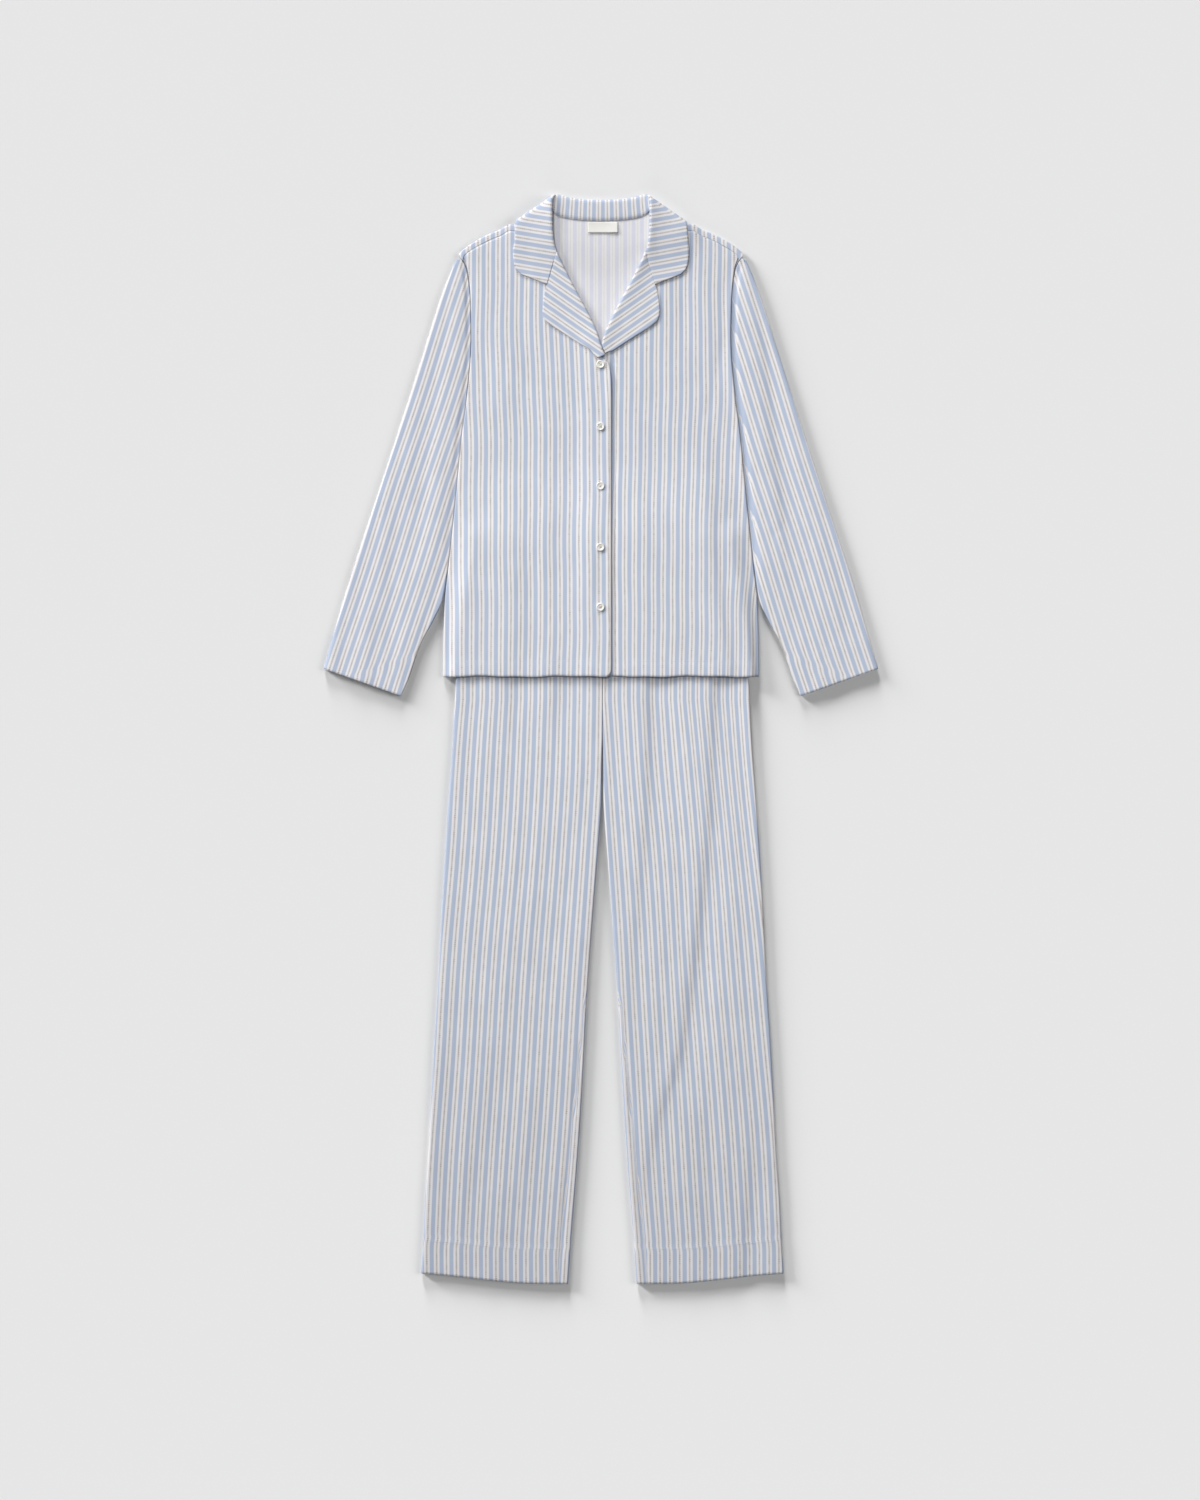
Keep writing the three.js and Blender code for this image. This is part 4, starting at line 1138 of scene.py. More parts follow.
def stitch_tree() -> bpy.types.NodeTree:
    """A row of sewn stitches along a line, each a small bead of thread.

    Returns:
        The geometry tree, with named inputs for its sizes.
    """
    tree = bpy.data.node_groups.new("Stitch row", "GeometryNodeTree")
    face = tree.interface
    face.new_socket("Line", in_out="INPUT", socket_type="NodeSocketGeometry")
    for label, default in (("Pitch", 3.2 * MM), ("Length", 2.3 * MM), ("Thread", 0.55 * MM)):
        socket = face.new_socket(label, in_out="INPUT", socket_type="NodeSocketFloat")
        socket.default_value = default
    face.new_socket("Unevenness", in_out="INPUT", socket_type="NodeSocketFloat").default_value = 0.12
    face.new_socket("Seed", in_out="INPUT", socket_type="NodeSocketInt").default_value = 3
    face.new_socket("Material", in_out="INPUT", socket_type="NodeSocketMaterial")
    face.new_socket("Stitches", in_out="OUTPUT", socket_type="NodeSocketGeometry")
    canvas = Canvas(tree)
    given, out = canvas.add("NodeGroupInput"), canvas.add("NodeGroupOutput")
    curve = canvas.add("GeometryNodeMeshToCurve")
    canvas.feed(given.outputs["Line"], curve.inputs[0])
    spaced = canvas.add("GeometryNodeResampleCurve", mode="LENGTH")
    canvas.feed(curve.outputs[0], spaced.inputs["Curve"])
    canvas.feed(given.outputs["Pitch"], spaced.inputs["Length"])
    bead = canvas.add("GeometryNodeMeshUVSphere")
    bead.inputs["Segments"].default_value = 6
    bead.inputs["Rings"].default_value = 4
    bead.inputs["Radius"].default_value = 0.5
    size = canvas.add("ShaderNodeCombineXYZ")
    for axis, label in enumerate(("Length", "Thread", "Thread")):
        canvas.feed(given.outputs[label], size.inputs[axis])
    shaped = canvas.add("GeometryNodeTransform")
    canvas.feed(bead.outputs["Mesh"], shaped.inputs["Geometry"])
    canvas.feed(size.outputs[0], shaped.inputs["Scale"])
    tangent = canvas.add("GeometryNodeInputTangent")
    turn = canvas.add("FunctionNodeAlignRotationToVector", axis="X")
    canvas.feed(tangent.outputs[0], turn.inputs["Vector"])
    jitter = canvas.add("FunctionNodeRandomValue", data_type="FLOAT")
    canvas.feed(canvas.math("SUBTRACT", 1.0, given.outputs["Unevenness"]), jitter.inputs[2])
    canvas.feed(canvas.math("ADD", 1.0, given.outputs["Unevenness"]), jitter.inputs[3])
    canvas.feed(given.outputs["Seed"], jitter.inputs["Seed"])
    placed = canvas.add("GeometryNodeInstanceOnPoints")
    canvas.feed(spaced.outputs[0], placed.inputs["Points"])
    canvas.feed(shaped.outputs[0], placed.inputs["Instance"])
    canvas.feed(turn.outputs[0], placed.inputs["Rotation"])
    canvas.feed(jitter.outputs[1], placed.inputs["Scale"])
    real = canvas.add("GeometryNodeRealizeInstances")
    canvas.feed(placed.outputs[0], real.inputs[0])
    even = canvas.add("GeometryNodeSetShadeSmooth")
    canvas.feed(real.outputs[0], even.inputs[0])
    paint = canvas.add("GeometryNodeSetMaterial")
    canvas.feed(even.outputs[0], paint.inputs["Geometry"])
    canvas.feed(given.outputs["Material"], paint.inputs["Material"])
    canvas.feed(paint.outputs[0], out.inputs[0])
    return tree


@dataclass
class Needle:
    """Sews rows of stitches with one geometry tree."""

    wardrobe: Wardrobe
    tree: bpy.types.NodeTree = field(default_factory=stitch_tree)

    def sew(self, name: str, lines: Sequence[np.ndarray], pitch: float = 3.2, length: float = 2.3,
            thread: float = 0.55) -> bpy.types.Object:
        """Sews stitches along lines of points.

        Args:
            name: the piece's name.
            lines: one or more rows of points, in millimetres.
            pitch: from one stitch to the next.
            length: a stitch's length.
            thread: its thickness.

        Returns:
            The stitches as one mesh.
        """
        vertices, edges = [], []
        for line in lines:
            start = len(vertices)
            vertices += [(x * MM, (y + SHIFT_Y) * MM, z * MM) for x, y, z in line]
            edges += [(start + i, start + i + 1) for i in range(len(line) - 1)]
        mesh = bpy.data.meshes.new(name + "_line")
        mesh.from_pydata(vertices, edges, [])
        line_object = bpy.data.objects.new(name + "_line", mesh)
        bpy.context.scene.collection.objects.link(line_object)
        modifier = line_object.modifiers.new("stitches", "NODES")
        modifier.node_group = self.tree
        values = {
            "Pitch": pitch * MM,
            "Length": length * MM,
            "Thread": thread * MM,
            "Unevenness": 0.12,
            "Seed": 3,
            "Material": self.wardrobe.thread,
        }
        for item in self.tree.interface.items_tree:
            if item.in_out == "INPUT" and item.name in values:
                modifier[item.identifier] = values[item.name]
        bpy.context.view_layer.update()
        evaluated = line_object.evaluated_get(bpy.context.evaluated_depsgraph_get())
        made = bpy.data.meshes.new_from_object(evaluated)
        line_object.modifiers.remove(modifier)
        bpy.data.objects.remove(line_object)
        made.name = name
        obj = bpy.data.objects.new(name, made)
        bpy.context.scene.collection.objects.link(obj)
        return dress(obj, "flannel")


# ---- the top --------------------------------------------------------------------------------


@dataclass
class TopBack:
    """The top's back, which comes forward over the shoulders."""

    pitch: float = 4.0
    hem_y: float = 87.0

    def columns(self, y: np.ndarray) -> tuple:
        """Distances from the middle line at heights y, and how far each column has turned."""
        side = BODY_SIDE(y)
        widest = BODY_SIDE(np.array([WIDEST_Y]))
        distance, turned = edge_profile(widest, False, True, self.pitch)
        flat_end = distance[0, turned[0] == 0][-1]
        inner = np.minimum(distance[0], flat_end)
        tail = distance[0] - inner
        end = side - TURN
        return inner[None, :] / flat_end * end[:, None] + tail[None, :], turned

    def shoulder(self) -> tuple:
        """Each column's place at the widest height, its fold and the edge on the front.

        Returns:
            x at the widest height, the fold's height, and the front edge's x and y.
        """
        x, _ = self.columns(np.array([WIDEST_Y]))
        fold = BACK_TOP(x[0]) - CLOTH / 2
        edge_y = fold - SHOULDER_WRAP
        grid, _ = self.columns(np.minimum(edge_y, WIDEST_Y))
        return x[0], fold, np.diagonal(grid), edge_y

    def surface(self) -> tuple:
        """Returns the middle points and the stripes of the whole back."""
        x, fold, _, _ = self.shoulder()
        count = len(x)
        wrapped = smooth(x, 70, 76)
        radius = LAYER / 2
        flat_end = fold - lerp(7.5, 2.4, wrapped)
        shares = np.linspace(0, 1, 150)
        y_rows = [self.hem_y + (flat_end - self.hem_y) * t for t in shares]
        lifts = [np.zeros(count)] * len(y_rows)
        for angle in np.linspace(0, math.pi, 9)[1:]:
            inward = radius * (1 - math.sin(angle))
            y_rows.append(fold - lerp(7.5 - 6.3 * angle / math.pi, inward, wrapped))
            lifts.append(radius * (1 - math.cos(angle)) * wrapped)
        for extra in (0.25, 0.5, 0.75, 1.0):
            y_rows.append(fold - lerp(1.2 * (1 - extra), lerp(2.4, SHOULDER_WRAP, extra), wrapped))
            lifts.append(LAYER * wrapped)
        sides = []
        for side in (-1, 1):
            grid = []
            for row, (y, lift) in enumerate(zip(y_rows, lifts)):
                place, turned = self.columns(np.minimum(y, WIDEST_Y))
                place = np.diagonal(place)
                level = back_level(side * place, y)
                turn = turned[0] if row < len(shares) - 3 else turned[0] * 0
                z = turned_level(level, front_level(side, place, y), turn, seam_hold(y)) + lift
                grid.append(np.stack([side * place, y, z], 1))
            sides.append(np.array(grid))
        middle = np.concatenate([sides[0][:, :0:-1], sides[1]], axis=1)
        stripes = np.stack([middle[..., 0] / REPEAT, middle[..., 1] / REPEAT], -1)
        return middle, stripes


@dataclass
class TopFront:
    """One front of the top, from its placket and roll line out to the side seam."""

    side: int
    back: TopBack
    pitch: float = 3.2
    hem_y: float = 87.0

    def surface(self) -> tuple:
        """Returns the middle points and the stripes."""
        last = FRONT_TABLE.count - 1
        fine = np.linspace(0, last, 2000)
        length = np.cumsum(np.hypot(np.gradient(FRONT_TABLE.read("inner_x", fine)),
                                    np.gradient(FRONT_TABLE.read("inner_y", fine))))
        s = np.interp(np.linspace(length[0], length[-1], 214), length, fine)
        inner = np.stack([FRONT_TABLE.read("inner_x", s), FRONT_TABLE.read("inner_y", s)], 1)
        side_y = FRONT_TABLE.read("side_y", s)
        outer = np.stack([BODY_SIDE(side_y), side_y], 1)
        run = outer - inner
        span = np.linalg.norm(run, axis=1)
        distance, turned = edge_profile(span, False, True, self.pitch)
        place = inner[:, None] + run[:, None] * (distance / span[:, None])[..., None]
        x, y = place[..., 0], place[..., 1]
        _, _, edge_x, edge_y = self.back.shoulder()
        keep = edge_x > 74
        straight_y = 731 + (667.3 - 731) * (x - 76) / (BODY_SIDE(np.array([667.3]))[0] - 76)
        seam_y = np.interp(x, edge_x[keep], edge_y[keep] - SHOULDER_SEAM)
        y = y + (seam_y - straight_y) * (s / last)[:, None] ** 8
        y = y + self.hem_shape(x, y)
        partner = back_level(self.side * x, y)
        z = keep_above(front_level(self.side, x, y) + self.relief(x, y), partner + CLOTH + 0.15)
        z = turned_level(z, partner, turned, seam_hold(y))
        run_of = RIGHT_FRONT_STRIPES if self.side < 0 else LEFT_FRONT_STRIPES
        meander = 0.045 * np.sin(y / 46 + 1.3 * self.side) + 0.02 * np.sin(y / 17 + x / 60)
        number = run_of.number(x, y) + meander
        # Painted shade: beside the placket's edge the blue stripe is widened into a dark band where the edge's shadow
        # falls.
        if self.side > 0:
            beside = np.exp(-(((x - 16.5) / 3.4) ** 4)) * smooth(y, 250, 420) * (1 - smooth(y, 520, 540))
            number = to_painted_shade_band(number, 0.85 * beside)
        stripes = np.stack([number, y / REPEAT], -1)
        return np.stack([self.side * x, y, z], -1), stripes

    def hem_shape(self, x: np.ndarray, y: np.ndarray) -> np.ndarray:
        """The hem's small waves and its rounded placket corner, fading upwards."""
        wave = 0.8 * np.sin(x / 19 + self.side) + 0.5 * np.sin(x / 8.3)
        corner = np.clip(7 - (x + PLACKET_LAP), 0, 7)
        rise = 7 - np.sqrt(np.maximum(49 - corner**2, 0))
        return wave * np.exp(-(y - self.hem_y) / 14) * smooth(x + PLACKET_LAP, 0, 12) + rise * np.exp(
            -(y - self.hem_y) / 7
        )

    def relief(self, x: np.ndarray, y: np.ndarray) -> np.ndarray:
        """Fine creases, the soft swell of the cloth and the thicker hem and placket."""
        away = smooth(BODY_SIDE(y) - x, 2, 14) * smooth(x + PLACKET_LAP, 0, 10)
        swell = undulation(11 + self.side, x, y, 58, 0.26) * away
        fine = undulation(23 + self.side, x, y, 21, 0.09) * away
        hem = 0.35 * (1 - smooth(y, 104, 107)) + 0.1 * np.sin(x / 2.6) * np.exp(-((y - 107) / 5) ** 2)
        folds = drape(TOP_DRAPE, self.side * x, y) * away * smooth(x, 18, 34)
        armhole = smooth(y, 270, 350) * (1 - smooth(y, 600, 655)) * (1 - smooth(BODY_SIDE(y) - x, 0, 14))
        hem = hem + (1.5 if self.side > 0 else 0.4) * armhole
        if self.side < 0:
            placket = 0.3 * (1 - smooth(x, 17, 19)) * (1 - smooth(y, 545, 575))
            curl = 1.3 * np.exp(-(((y - 500) / 75) ** 2)) + 0.3
            placket = placket + curl * (1 - smooth(x + PLACKET_LAP, 1, 13)) * (1 - smooth(y, 505, 530))
        else:
            placket = -2.2 * np.exp(-(((x - 16) / 4) ** 4)) * (1 - smooth(y, 515, 540))
        return swell + fine + hem + placket + folds - troughs(TOP_CREASES, self.side, x, y)


@dataclass
class Sleeve:
    """A sleeve: one piece folded along its outer edge."""

    side: int
    pitch: float = 3.4

    def surface(self) -> tuple:
        """Returns the middle points and the stripes, each row a ring."""
        low = CLOTH / 2
        s = np.interp(np.linspace(0, 1, 190), [0, 1], [0, SLEEVE_TABLE.count - 1])
        inner_y, outer_y = SLEEVE_TABLE.read("inner_y", s), SLEEVE_TABLE.read("outer_y", s)
        inner_x = np.where(inner_y < 236, SLEEVE_INNER(inner_y), BODY_SIDE(inner_y) + ARM_GAP)
        start = np.stack([inner_x, inner_y], 1)
        stop = np.stack([SLEEVE_OUTER(outer_y), outer_y], 1)
        run = stop - start
        width = np.linalg.norm(run, axis=1)
        fold = np.minimum(4, 0.4 * width)
        distance, turned = edge_profile(width - fold, True, False, self.pitch)
        along = run / width[:, None]
        place = start[:, None] + along[:, None] * distance[..., None]
        x, y = place[..., 0], place[..., 1]
        hold = np.where(inner_y > 480, seam_hold(inner_y), 1.0)[:, None]
        outer_fade = smooth((width - fold)[:, None] - distance, 0, 10)
        fade = smooth(distance, 1, 8) * outer_fade
        drop = (troughs(SLEEVE_CREASES, self.side, x, y) - drape(SLEEVE_DRAPE, self.side * x, y)) * fade
        tuck = SLEEVE_TUCK * (1 - (smooth(distance, 4.5, 10) if self.side > 0 else smooth(distance, 2, 9)))
        drop = drop + tuck * smooth(y, 200, 285) * (1 - smooth(y, 640, 670))
        swell = (undulation(31 + self.side, x, y, 44, 0.3) + undulation(37, x, y, 17, 0.08)) * outer_fade
        from_cuff = (inner_y - 59.5)[:, None]
        pucker = 0.12 * np.sin(distance / 2.4) * np.exp(-(((from_cuff - 50) / 5) ** 2))
        cuff = 0.3 * (1 - smooth(from_cuff, 48, 51)) + pucker
        margin_slope = 0.5 * (1 - smooth(x - inner_x[:, None], 4, 22))
        upper = low + LAYER - drop - margin_slope + swell * smooth(distance, 2, 12) + cuff
        over = turned_level(keep_above(upper, low + CLOTH + 0.15), low + 0 * upper, turned, hold)
        under = turned_level(low + 0 * upper, low + LAYER + 0 * upper, turned, hold)
        bend = []
        for angle in np.linspace(-math.pi / 2, math.pi / 2, 9)[1:-1]:
            out = (fold - CLOTH / 2) * math.cos(angle) - fold
            at = stop + along * out[:, None]
            height = low + LAYER / 2 * (1 + math.sin(angle)) + 0 * out
            bend.append(np.stack([self.side * at[:, 0], at[:, 1], height], 1))
        bottom = np.stack([self.side * x, y, under], -1)
        top = np.stack([self.side * x, y, over], -1)[:, ::-1]
        middle = np.concatenate([bottom, np.stack(bend, 1), top], axis=1)
        half = self.side * middle[..., 0]
        if self.side < 0:
            number = (236.04 + 0.3257 * (557.9 - middle[..., 1]) - half) / 14.28
        else:
            number = (264.88 + 0.318 * (473.9 - middle[..., 1]) - half) / 14.14
        number = number + 0.05 * np.sin(middle[..., 1] / 40 + self.side)
        hem_turn = middle[..., 1] - 59.5 + 0.35 * half - 0.35 * 280 - 50
        number = number + 0.07 * np.exp(-((hem_turn / 5) ** 2)) - 0.05 * (1 - smooth(hem_turn, -3, 3))
        # Painted shade: along the margin beside the body the blue stripe is widened into a dark band where the body's
        # shadow falls.
        if self.side > 0:
            count = distance.shape[1]
            margin = 0.8 * (1 - smooth(distance, 1, 11)) * smooth(y, 220, 285) * (1 - smooth(y, 620, 650))
            number[:, -count:] = to_painted_shade_band(number[:, -count:], margin[:, ::-1])
        return middle, np.stack([number, (middle[..., 1] * 0.954 - half * 0.3) / REPEAT], -1)


@dataclass
class Collar:
    """The two-ply collar from one notch round the neck to the other."""

    rows_per_step: int = 7

    def cross_lines(self, side: int, s: np.ndarray) -> tuple:
        """Points and stripes of one half.

        Args:
            side: the side of the garment.
            s: row numbers from the notch to the middle of the back.

        Returns:
            Middle points and stripes.
        """
        value = {name: COLLAR_TABLE.read(name, s)[:, None] for name in COLLAR_TABLE.curves}
        roll = np.concatenate([value["roll_x"], value["roll_y"]], 1)
        seam = np.concatenate([value["seam_x"], value["seam_y"]], 1)
        edge = np.concatenate([value["edge_x"], value["edge_y"]], 1)
        fall_run, stand_run = edge - roll, seam - roll
        fall = np.linalg.norm(fall_run, axis=1, keepdims=True)
        stand = np.linalg.norm(stand_run, axis=1, keepdims=True)
        rolled = smooth(s[:, None], 3.0, 4.0)
        fall_way = fall_run / fall
        stand_way = np.where(stand > 0.2, stand_run / np.maximum(stand, 0.2), fall_way)
        turned = (1 - np.cos(np.radians(value["turn"]))) / 2
        soft = lerp(COLLAR_ROLL if side < 0 else CLOSE_ROLL, ROLL_ROUND, smooth(value["turn"], 50, 150))
        near = np.linspace(0, 1, 9) ** 1.6
        steps = np.concatenate([-near[:0:-1], [0], np.linspace(0, 1, 34)[1:] ** 1.35])[None, :]
        under = np.maximum(stand, 2.5)
        arc = np.where(steps < 0, steps * (under + soft / 2), steps * (fall + soft / 2))
        reach = np.hypot(arc, soft)
        over_share = (reach + arc - soft) / 2
        under_share = (reach - arc - soft) / 2
        rise = (1 + arc / reach) / 2
        flat = under * (1 + np.minimum(steps, 0)) + np.maximum(steps, 0) * (fall - under)
        ahead = lerp(flat, over_share, rolled)
        below = under_share * rolled
        x = roll[:, :1] + fall_way[:, :1] * ahead + stand_way[:, :1] * below
        y = roll[:, 1:] + fall_way[:, 1:] * ahead + stand_way[:, 1:] * below
        away = np.maximum(arc, 0)
        upper = front_level(side, x, y) + ON_CLOTH + LIE + value["puff"] * np.exp(-((away / 16) ** 1.5))
        edge_soft = smooth(fall - np.maximum(steps, 0) * fall, 1, 12)
        upper = upper + undulation(41 + side, x, y, 30, 0.16) * edge_soft * (1 - turned)
        fall_z = lerp(upper, FALL_LEVEL, turned)
        on_front = front_level(side, value["seam_x"], value["seam_y"])
        on_back = back_level(side * value["seam_x"], value["seam_y"]) + 1.35
        seam_z = lerp(on_front, on_back, turned)
        stand_share = np.clip(-arc / (stand + 2), 0, 1)
        stand_z = lerp(lerp(seam_z, BACK_STAND_LEVEL, turned), seam_z, stand_share)
        z = lerp(stand_z, fall_z, lerp(1.0, rise, rolled))
        if side < 0:
            wing = (700.2 - y + 0.17 * x) / 13.19
        else:
            wing = (696.4 - y + 0.19 * x) / 13.26
        fan = lerp(12.65, 12.2, smooth(y, 724, 756))
        neck = -9 + (x - side * 2.66) / fan
        number = lerp(wing, neck, smooth(value["turn"], 0, 120))
        wall = TWO_PLY - 1.1 * (1 - smooth(arc + under, 0.5, 5)) * turned + 0 * number
        return np.stack([side * x, y, z], -1), np.stack([number, arc / REPEAT + 0 * number, wall], -1)

    def surface(self) -> tuple:
        """Returns the middle points, the stripes and the wall's thickness of the whole collar."""
        s = np.linspace(0, COLLAR_TABLE.count - 1, (COLLAR_TABLE.count - 1) * self.rows_per_step + 1)
        right, right_stripes = self.cross_lines(-1, s)
        left, left_stripes = self.cross_lines(1, s[:-1])
        extra = np.concatenate([right_stripes, left_stripes[::-1]])
        return np.concatenate([right, left[::-1]]), extra[..., :2], extra[..., 2]


@dataclass
class Lapel:
    """A lapel: it leaves the front under the roll line, rolls over and lies on the front."""

    side: int

    def surface(self) -> tuple:
        """Returns the middle points and the stripes."""
        ends = RIGHT_LAPEL_END if self.side < 0 else LEFT_LAPEL_END
        table = Rows(("roll_x", "roll_y", "edge_x", "edge_y"), [*LAPEL_ROWS, *ends])
        s = np.linspace(0, table.count - 1, (table.count - 1) * 6 + 1)
        roll = np.stack([table.read("roll_x", s), table.read("roll_y", s)], 1)
        edge = np.stack([table.read("edge_x", s), table.read("edge_y", s)], 1)
        run = edge - roll
        width = np.linalg.norm(run, axis=1)
        puff = (1.5 + 1.6 * np.exp(-s / 3))[:, None]
        near = np.array([-3, -2.1, -1.3, -0.6, 0, 0.6, 1.3, 2.2, 3.4])
        far = np.linspace(0, 1, 26)[1:] ** 1.2
        arc = np.concatenate(
            [np.broadcast_to(near, (len(s), len(near))), 3.4 + (width[:, None] + ROLL_ROUND - 3.4) * far], axis=1
        )
        soft = LAPEL_ROLL if self.side < 0 else CLOSE_ROLL
        reach = np.hypot(arc, soft)
        rise = (1 + arc / reach) / 2
        place = roll[:, None] + run[:, None] * ((reach - soft) / width[:, None])[..., None]
        x, y = place[..., 0], place[..., 1]
        level = front_level(self.side, x, y)
        upper = level + ON_CLOTH + puff * np.exp(-((np.maximum(arc, 0) / 14) ** 1.5))
        inside = smooth(arc, 4, 16) * smooth(width[:, None] - arc, 1, 10)
        upper = upper + undulation(53 + self.side, x, y, 26, 0.14) * inside
        z = lerp(level, upper, rise)
        base = -313.96 if self.side < 0 else -328.7
        number = (0.585 * y - 0.41 * x + base) / (8.9 if self.side < 0 else 8.95)
        along = (0.41 * y + 0.585 * x) * 1.4 / REPEAT
        return np.stack([self.side * x, y, z], -1), np.stack([number, along], -1)


@dataclass
class NeckLabel:
    """A blank woven tape sewn below the neck seam."""

    width: float = 41.5
    height: float = 14.6
    x: float = 2.5
    y: float = 707.6
    wall: float = 0.5

    def surface(self) -> tuple:
        """Returns the tape's middle points, its ends slightly lifted."""
        across = np.linspace(-0.5, 0.5, 31)[None, :]
        up = np.linspace(0, 1, 13)[:, None]
        x = self.x + across * self.width + 0 * up
        y = self.y + up * self.height + 0 * across
        lift = 1.1 * (1 - up) ** 2 + 1.1 * smooth(across, 0.1, 0.5) * (1 - up**3) + 0.12 * np.sin(across * 9)
        z = back_level(x, y) + CLOTH / 2 + LIE + self.wall / 2 + lift
        return np.stack([x, y, z], -1), np.stack([x, y], -1) / REPEAT


@dataclass
class Button:
    """A flat round button with a raised rim, a dished middle and four holes."""

    radius: float = 5.75
    thickness: float = 2.4
    x: float = -0.7
    heights: tuple = (523.0, 436.0, 353.0, 267.0, 183.4)
    hole_radius: float = 0.62
    hole_offset: float = 1.05

    def base(self, y: float) -> float:
        """The height that the button at y stands on."""
        return float(front_level(-1, np.array([-self.x]), np.array([y]))[0]) + CLOTH / 2 + SEAM

    def profile(self) -> list:
        """Points of half the section, from the middle of the back to the middle of the dish."""
        r, t = self.radius, self.thickness
        return [(0, 0), (r - 1.3, 0), (r - 0.6, 0.18), (r - 0.12, 0.7), (r, 1.2), (r - 0.12, 1.75), (r - 0.5, 2.2),
                (r - 0.95, t), (r - 1.4, 2.32), (r - 1.9, 2.02), (r - 2.4, 1.76), (r - 3.0, 1.68), (0, 1.66)]

    def blank(self) -> bpy.types.Mesh:
        """Turns the section and drills the four holes, at the origin in metres."""
        fresh = bmesh.new()
        points = [fresh.verts.new((px * MM, 0, pz * MM)) for px, pz in self.profile()]
        edges = [fresh.edges.new(pair) for pair in zip(points[:-1], points[1:])]
        bmesh.ops.spin(fresh, geom=points + edges, cent=(0, 0, 0), axis=(0, 0, 1), angle=2 * math.pi, steps=56)
        bmesh.ops.remove_doubles(fresh, verts=fresh.verts, dist=1e-6)
        bmesh.ops.recalc_face_normals(fresh, faces=fresh.faces)
        body = bpy.data.meshes.new("button_body")
        fresh.to_mesh(body)
        fresh.clear()
        for dx in (-1, 1):
            for dy in (-1, 1):
                made = bmesh.ops.create_cone(fresh, cap_ends=True, segments=14, radius1=self.hole_radius * MM,
                                             radius2=self.hole_radius * MM, depth=8 * MM)
                bmesh.ops.translate(fresh, verts=made["verts"],
                                    vec=(dx * self.hole_offset * MM, dy * self.hole_offset * MM, 0))
        drill_mesh = bpy.data.meshes.new("drill")
        fresh.to_mesh(drill_mesh)
        fresh.free()
        body_object = bpy.data.objects.new("button_body", body)
        drill = bpy.data.objects.new("drill", drill_mesh)
        for obj in (body_object, drill):
            bpy.context.scene.collection.objects.link(obj)
        cut = body_object.modifiers.new("holes", "BOOLEAN")
        cut.operation, cut.object, cut.solver = "DIFFERENCE", drill, "EXACT"
        bpy.context.view_layer.update()
        result = bpy.data.meshes.new_from_object(body_object.evaluated_get(bpy.context.evaluated_depsgraph_get()))
        bpy.data.objects.remove(body_object)
        bpy.data.objects.remove(drill)
        return result

    def build(self, wardrobe: Wardrobe) -> None:
        """Makes the buttons and the threads that hold them."""
        blank = self.blank()
        for i, y in enumerate(self.heights, 1):
            mesh = blank.copy()
            move = Vector((self.x * MM, (y + SHIFT_Y) * MM, self.base(y) * MM))
            turn = 0.18 * math.sin(2.1 * i)
            for vertex in mesh.vertices:
                px, py, pz = vertex.co
                vertex.co = Vector((px * math.cos(turn) - py * math.sin(turn),
                                    px * math.sin(turn) + py * math.cos(turn), pz)) + move
            mesh.materials.clear()
            mesh.materials.append(wardrobe.resin)
            mesh.polygons.foreach_set("use_smooth", [True] * len(mesh.polygons))
            mesh.set_sharp_from_angle(angle=math.radians(50))
            obj = bpy.data.objects.new(f"shirt_button_{i}", mesh)
            bpy.context.scene.collection.objects.link(obj)
            dress(obj, "button", f"button_{i}")
            self.thread(i, y, turn, wardrobe)

    def thread(self, i: int, y: float, turn: float, wardrobe: Wardrobe) -> None:
        """Makes the crossed thread of one button.

        Args:
            i: the button's number.
            y: its height on the placket.
            turn: how far it is turned.
            wardrobe: the materials.
        """
        fresh = bmesh.new()
        o = self.hole_offset
        for k, ((x0, y0), (x1, y1)) in enumerate((((-o, -o), (o, o)), ((-o, o), (o, -o)))):
            rings = []
            for t in np.linspace(0, 1, 11):
                cx, cy = lerp(x0, x1, t), lerp(y0, y1, t)
                cz = 1.35 + 0.75 * math.sin(math.pi * t) ** 0.5 + 0.16 * k * math.sin(math.pi * t)
                way = Vector((x1 - x0, y1 - y0, 0)).normalized()
                side = Vector((-way.y, way.x, 0))
                ring = []
                for a in range(8):
                    angle = 2 * math.pi * a / 8
                    off = side * (0.36 * math.cos(angle)) + Vector((0, 0, 0.26 * math.sin(angle)))
                    point = Vector((cx, cy, cz)) + off
                    px = point.x * math.cos(turn) - point.y * math.sin(turn) + self.x
                    py = point.x * math.sin(turn) + point.y * math.cos(turn) + y + SHIFT_Y
                    ring.append(fresh.verts.new((px * MM, py * MM, (point.z + self.base(y)) * MM)))
                rings.append(ring)
            for a, b in zip(rings[:-1], rings[1:]):
                for j in range(8):
                    fresh.faces.new((a[j], a[(j + 1) % 8], b[(j + 1) % 8], b[j]))
            fresh.faces.new(rings[0][::-1])
            fresh.faces.new(rings[-1])
        bmesh.ops.recalc_face_normals(fresh, faces=fresh.faces)
        for face in fresh.faces:
            face.smooth = True
        mesh = bpy.data.meshes.new(f"button_thread_{i}")
        fresh.to_mesh(mesh)
        fresh.free()
        mesh.materials.append(wardrobe.button_thread)
        obj = bpy.data.objects.new(f"button_thread_{i}", mesh)
        bpy.context.scene.collection.objects.link(obj)
        dress(obj, "button")


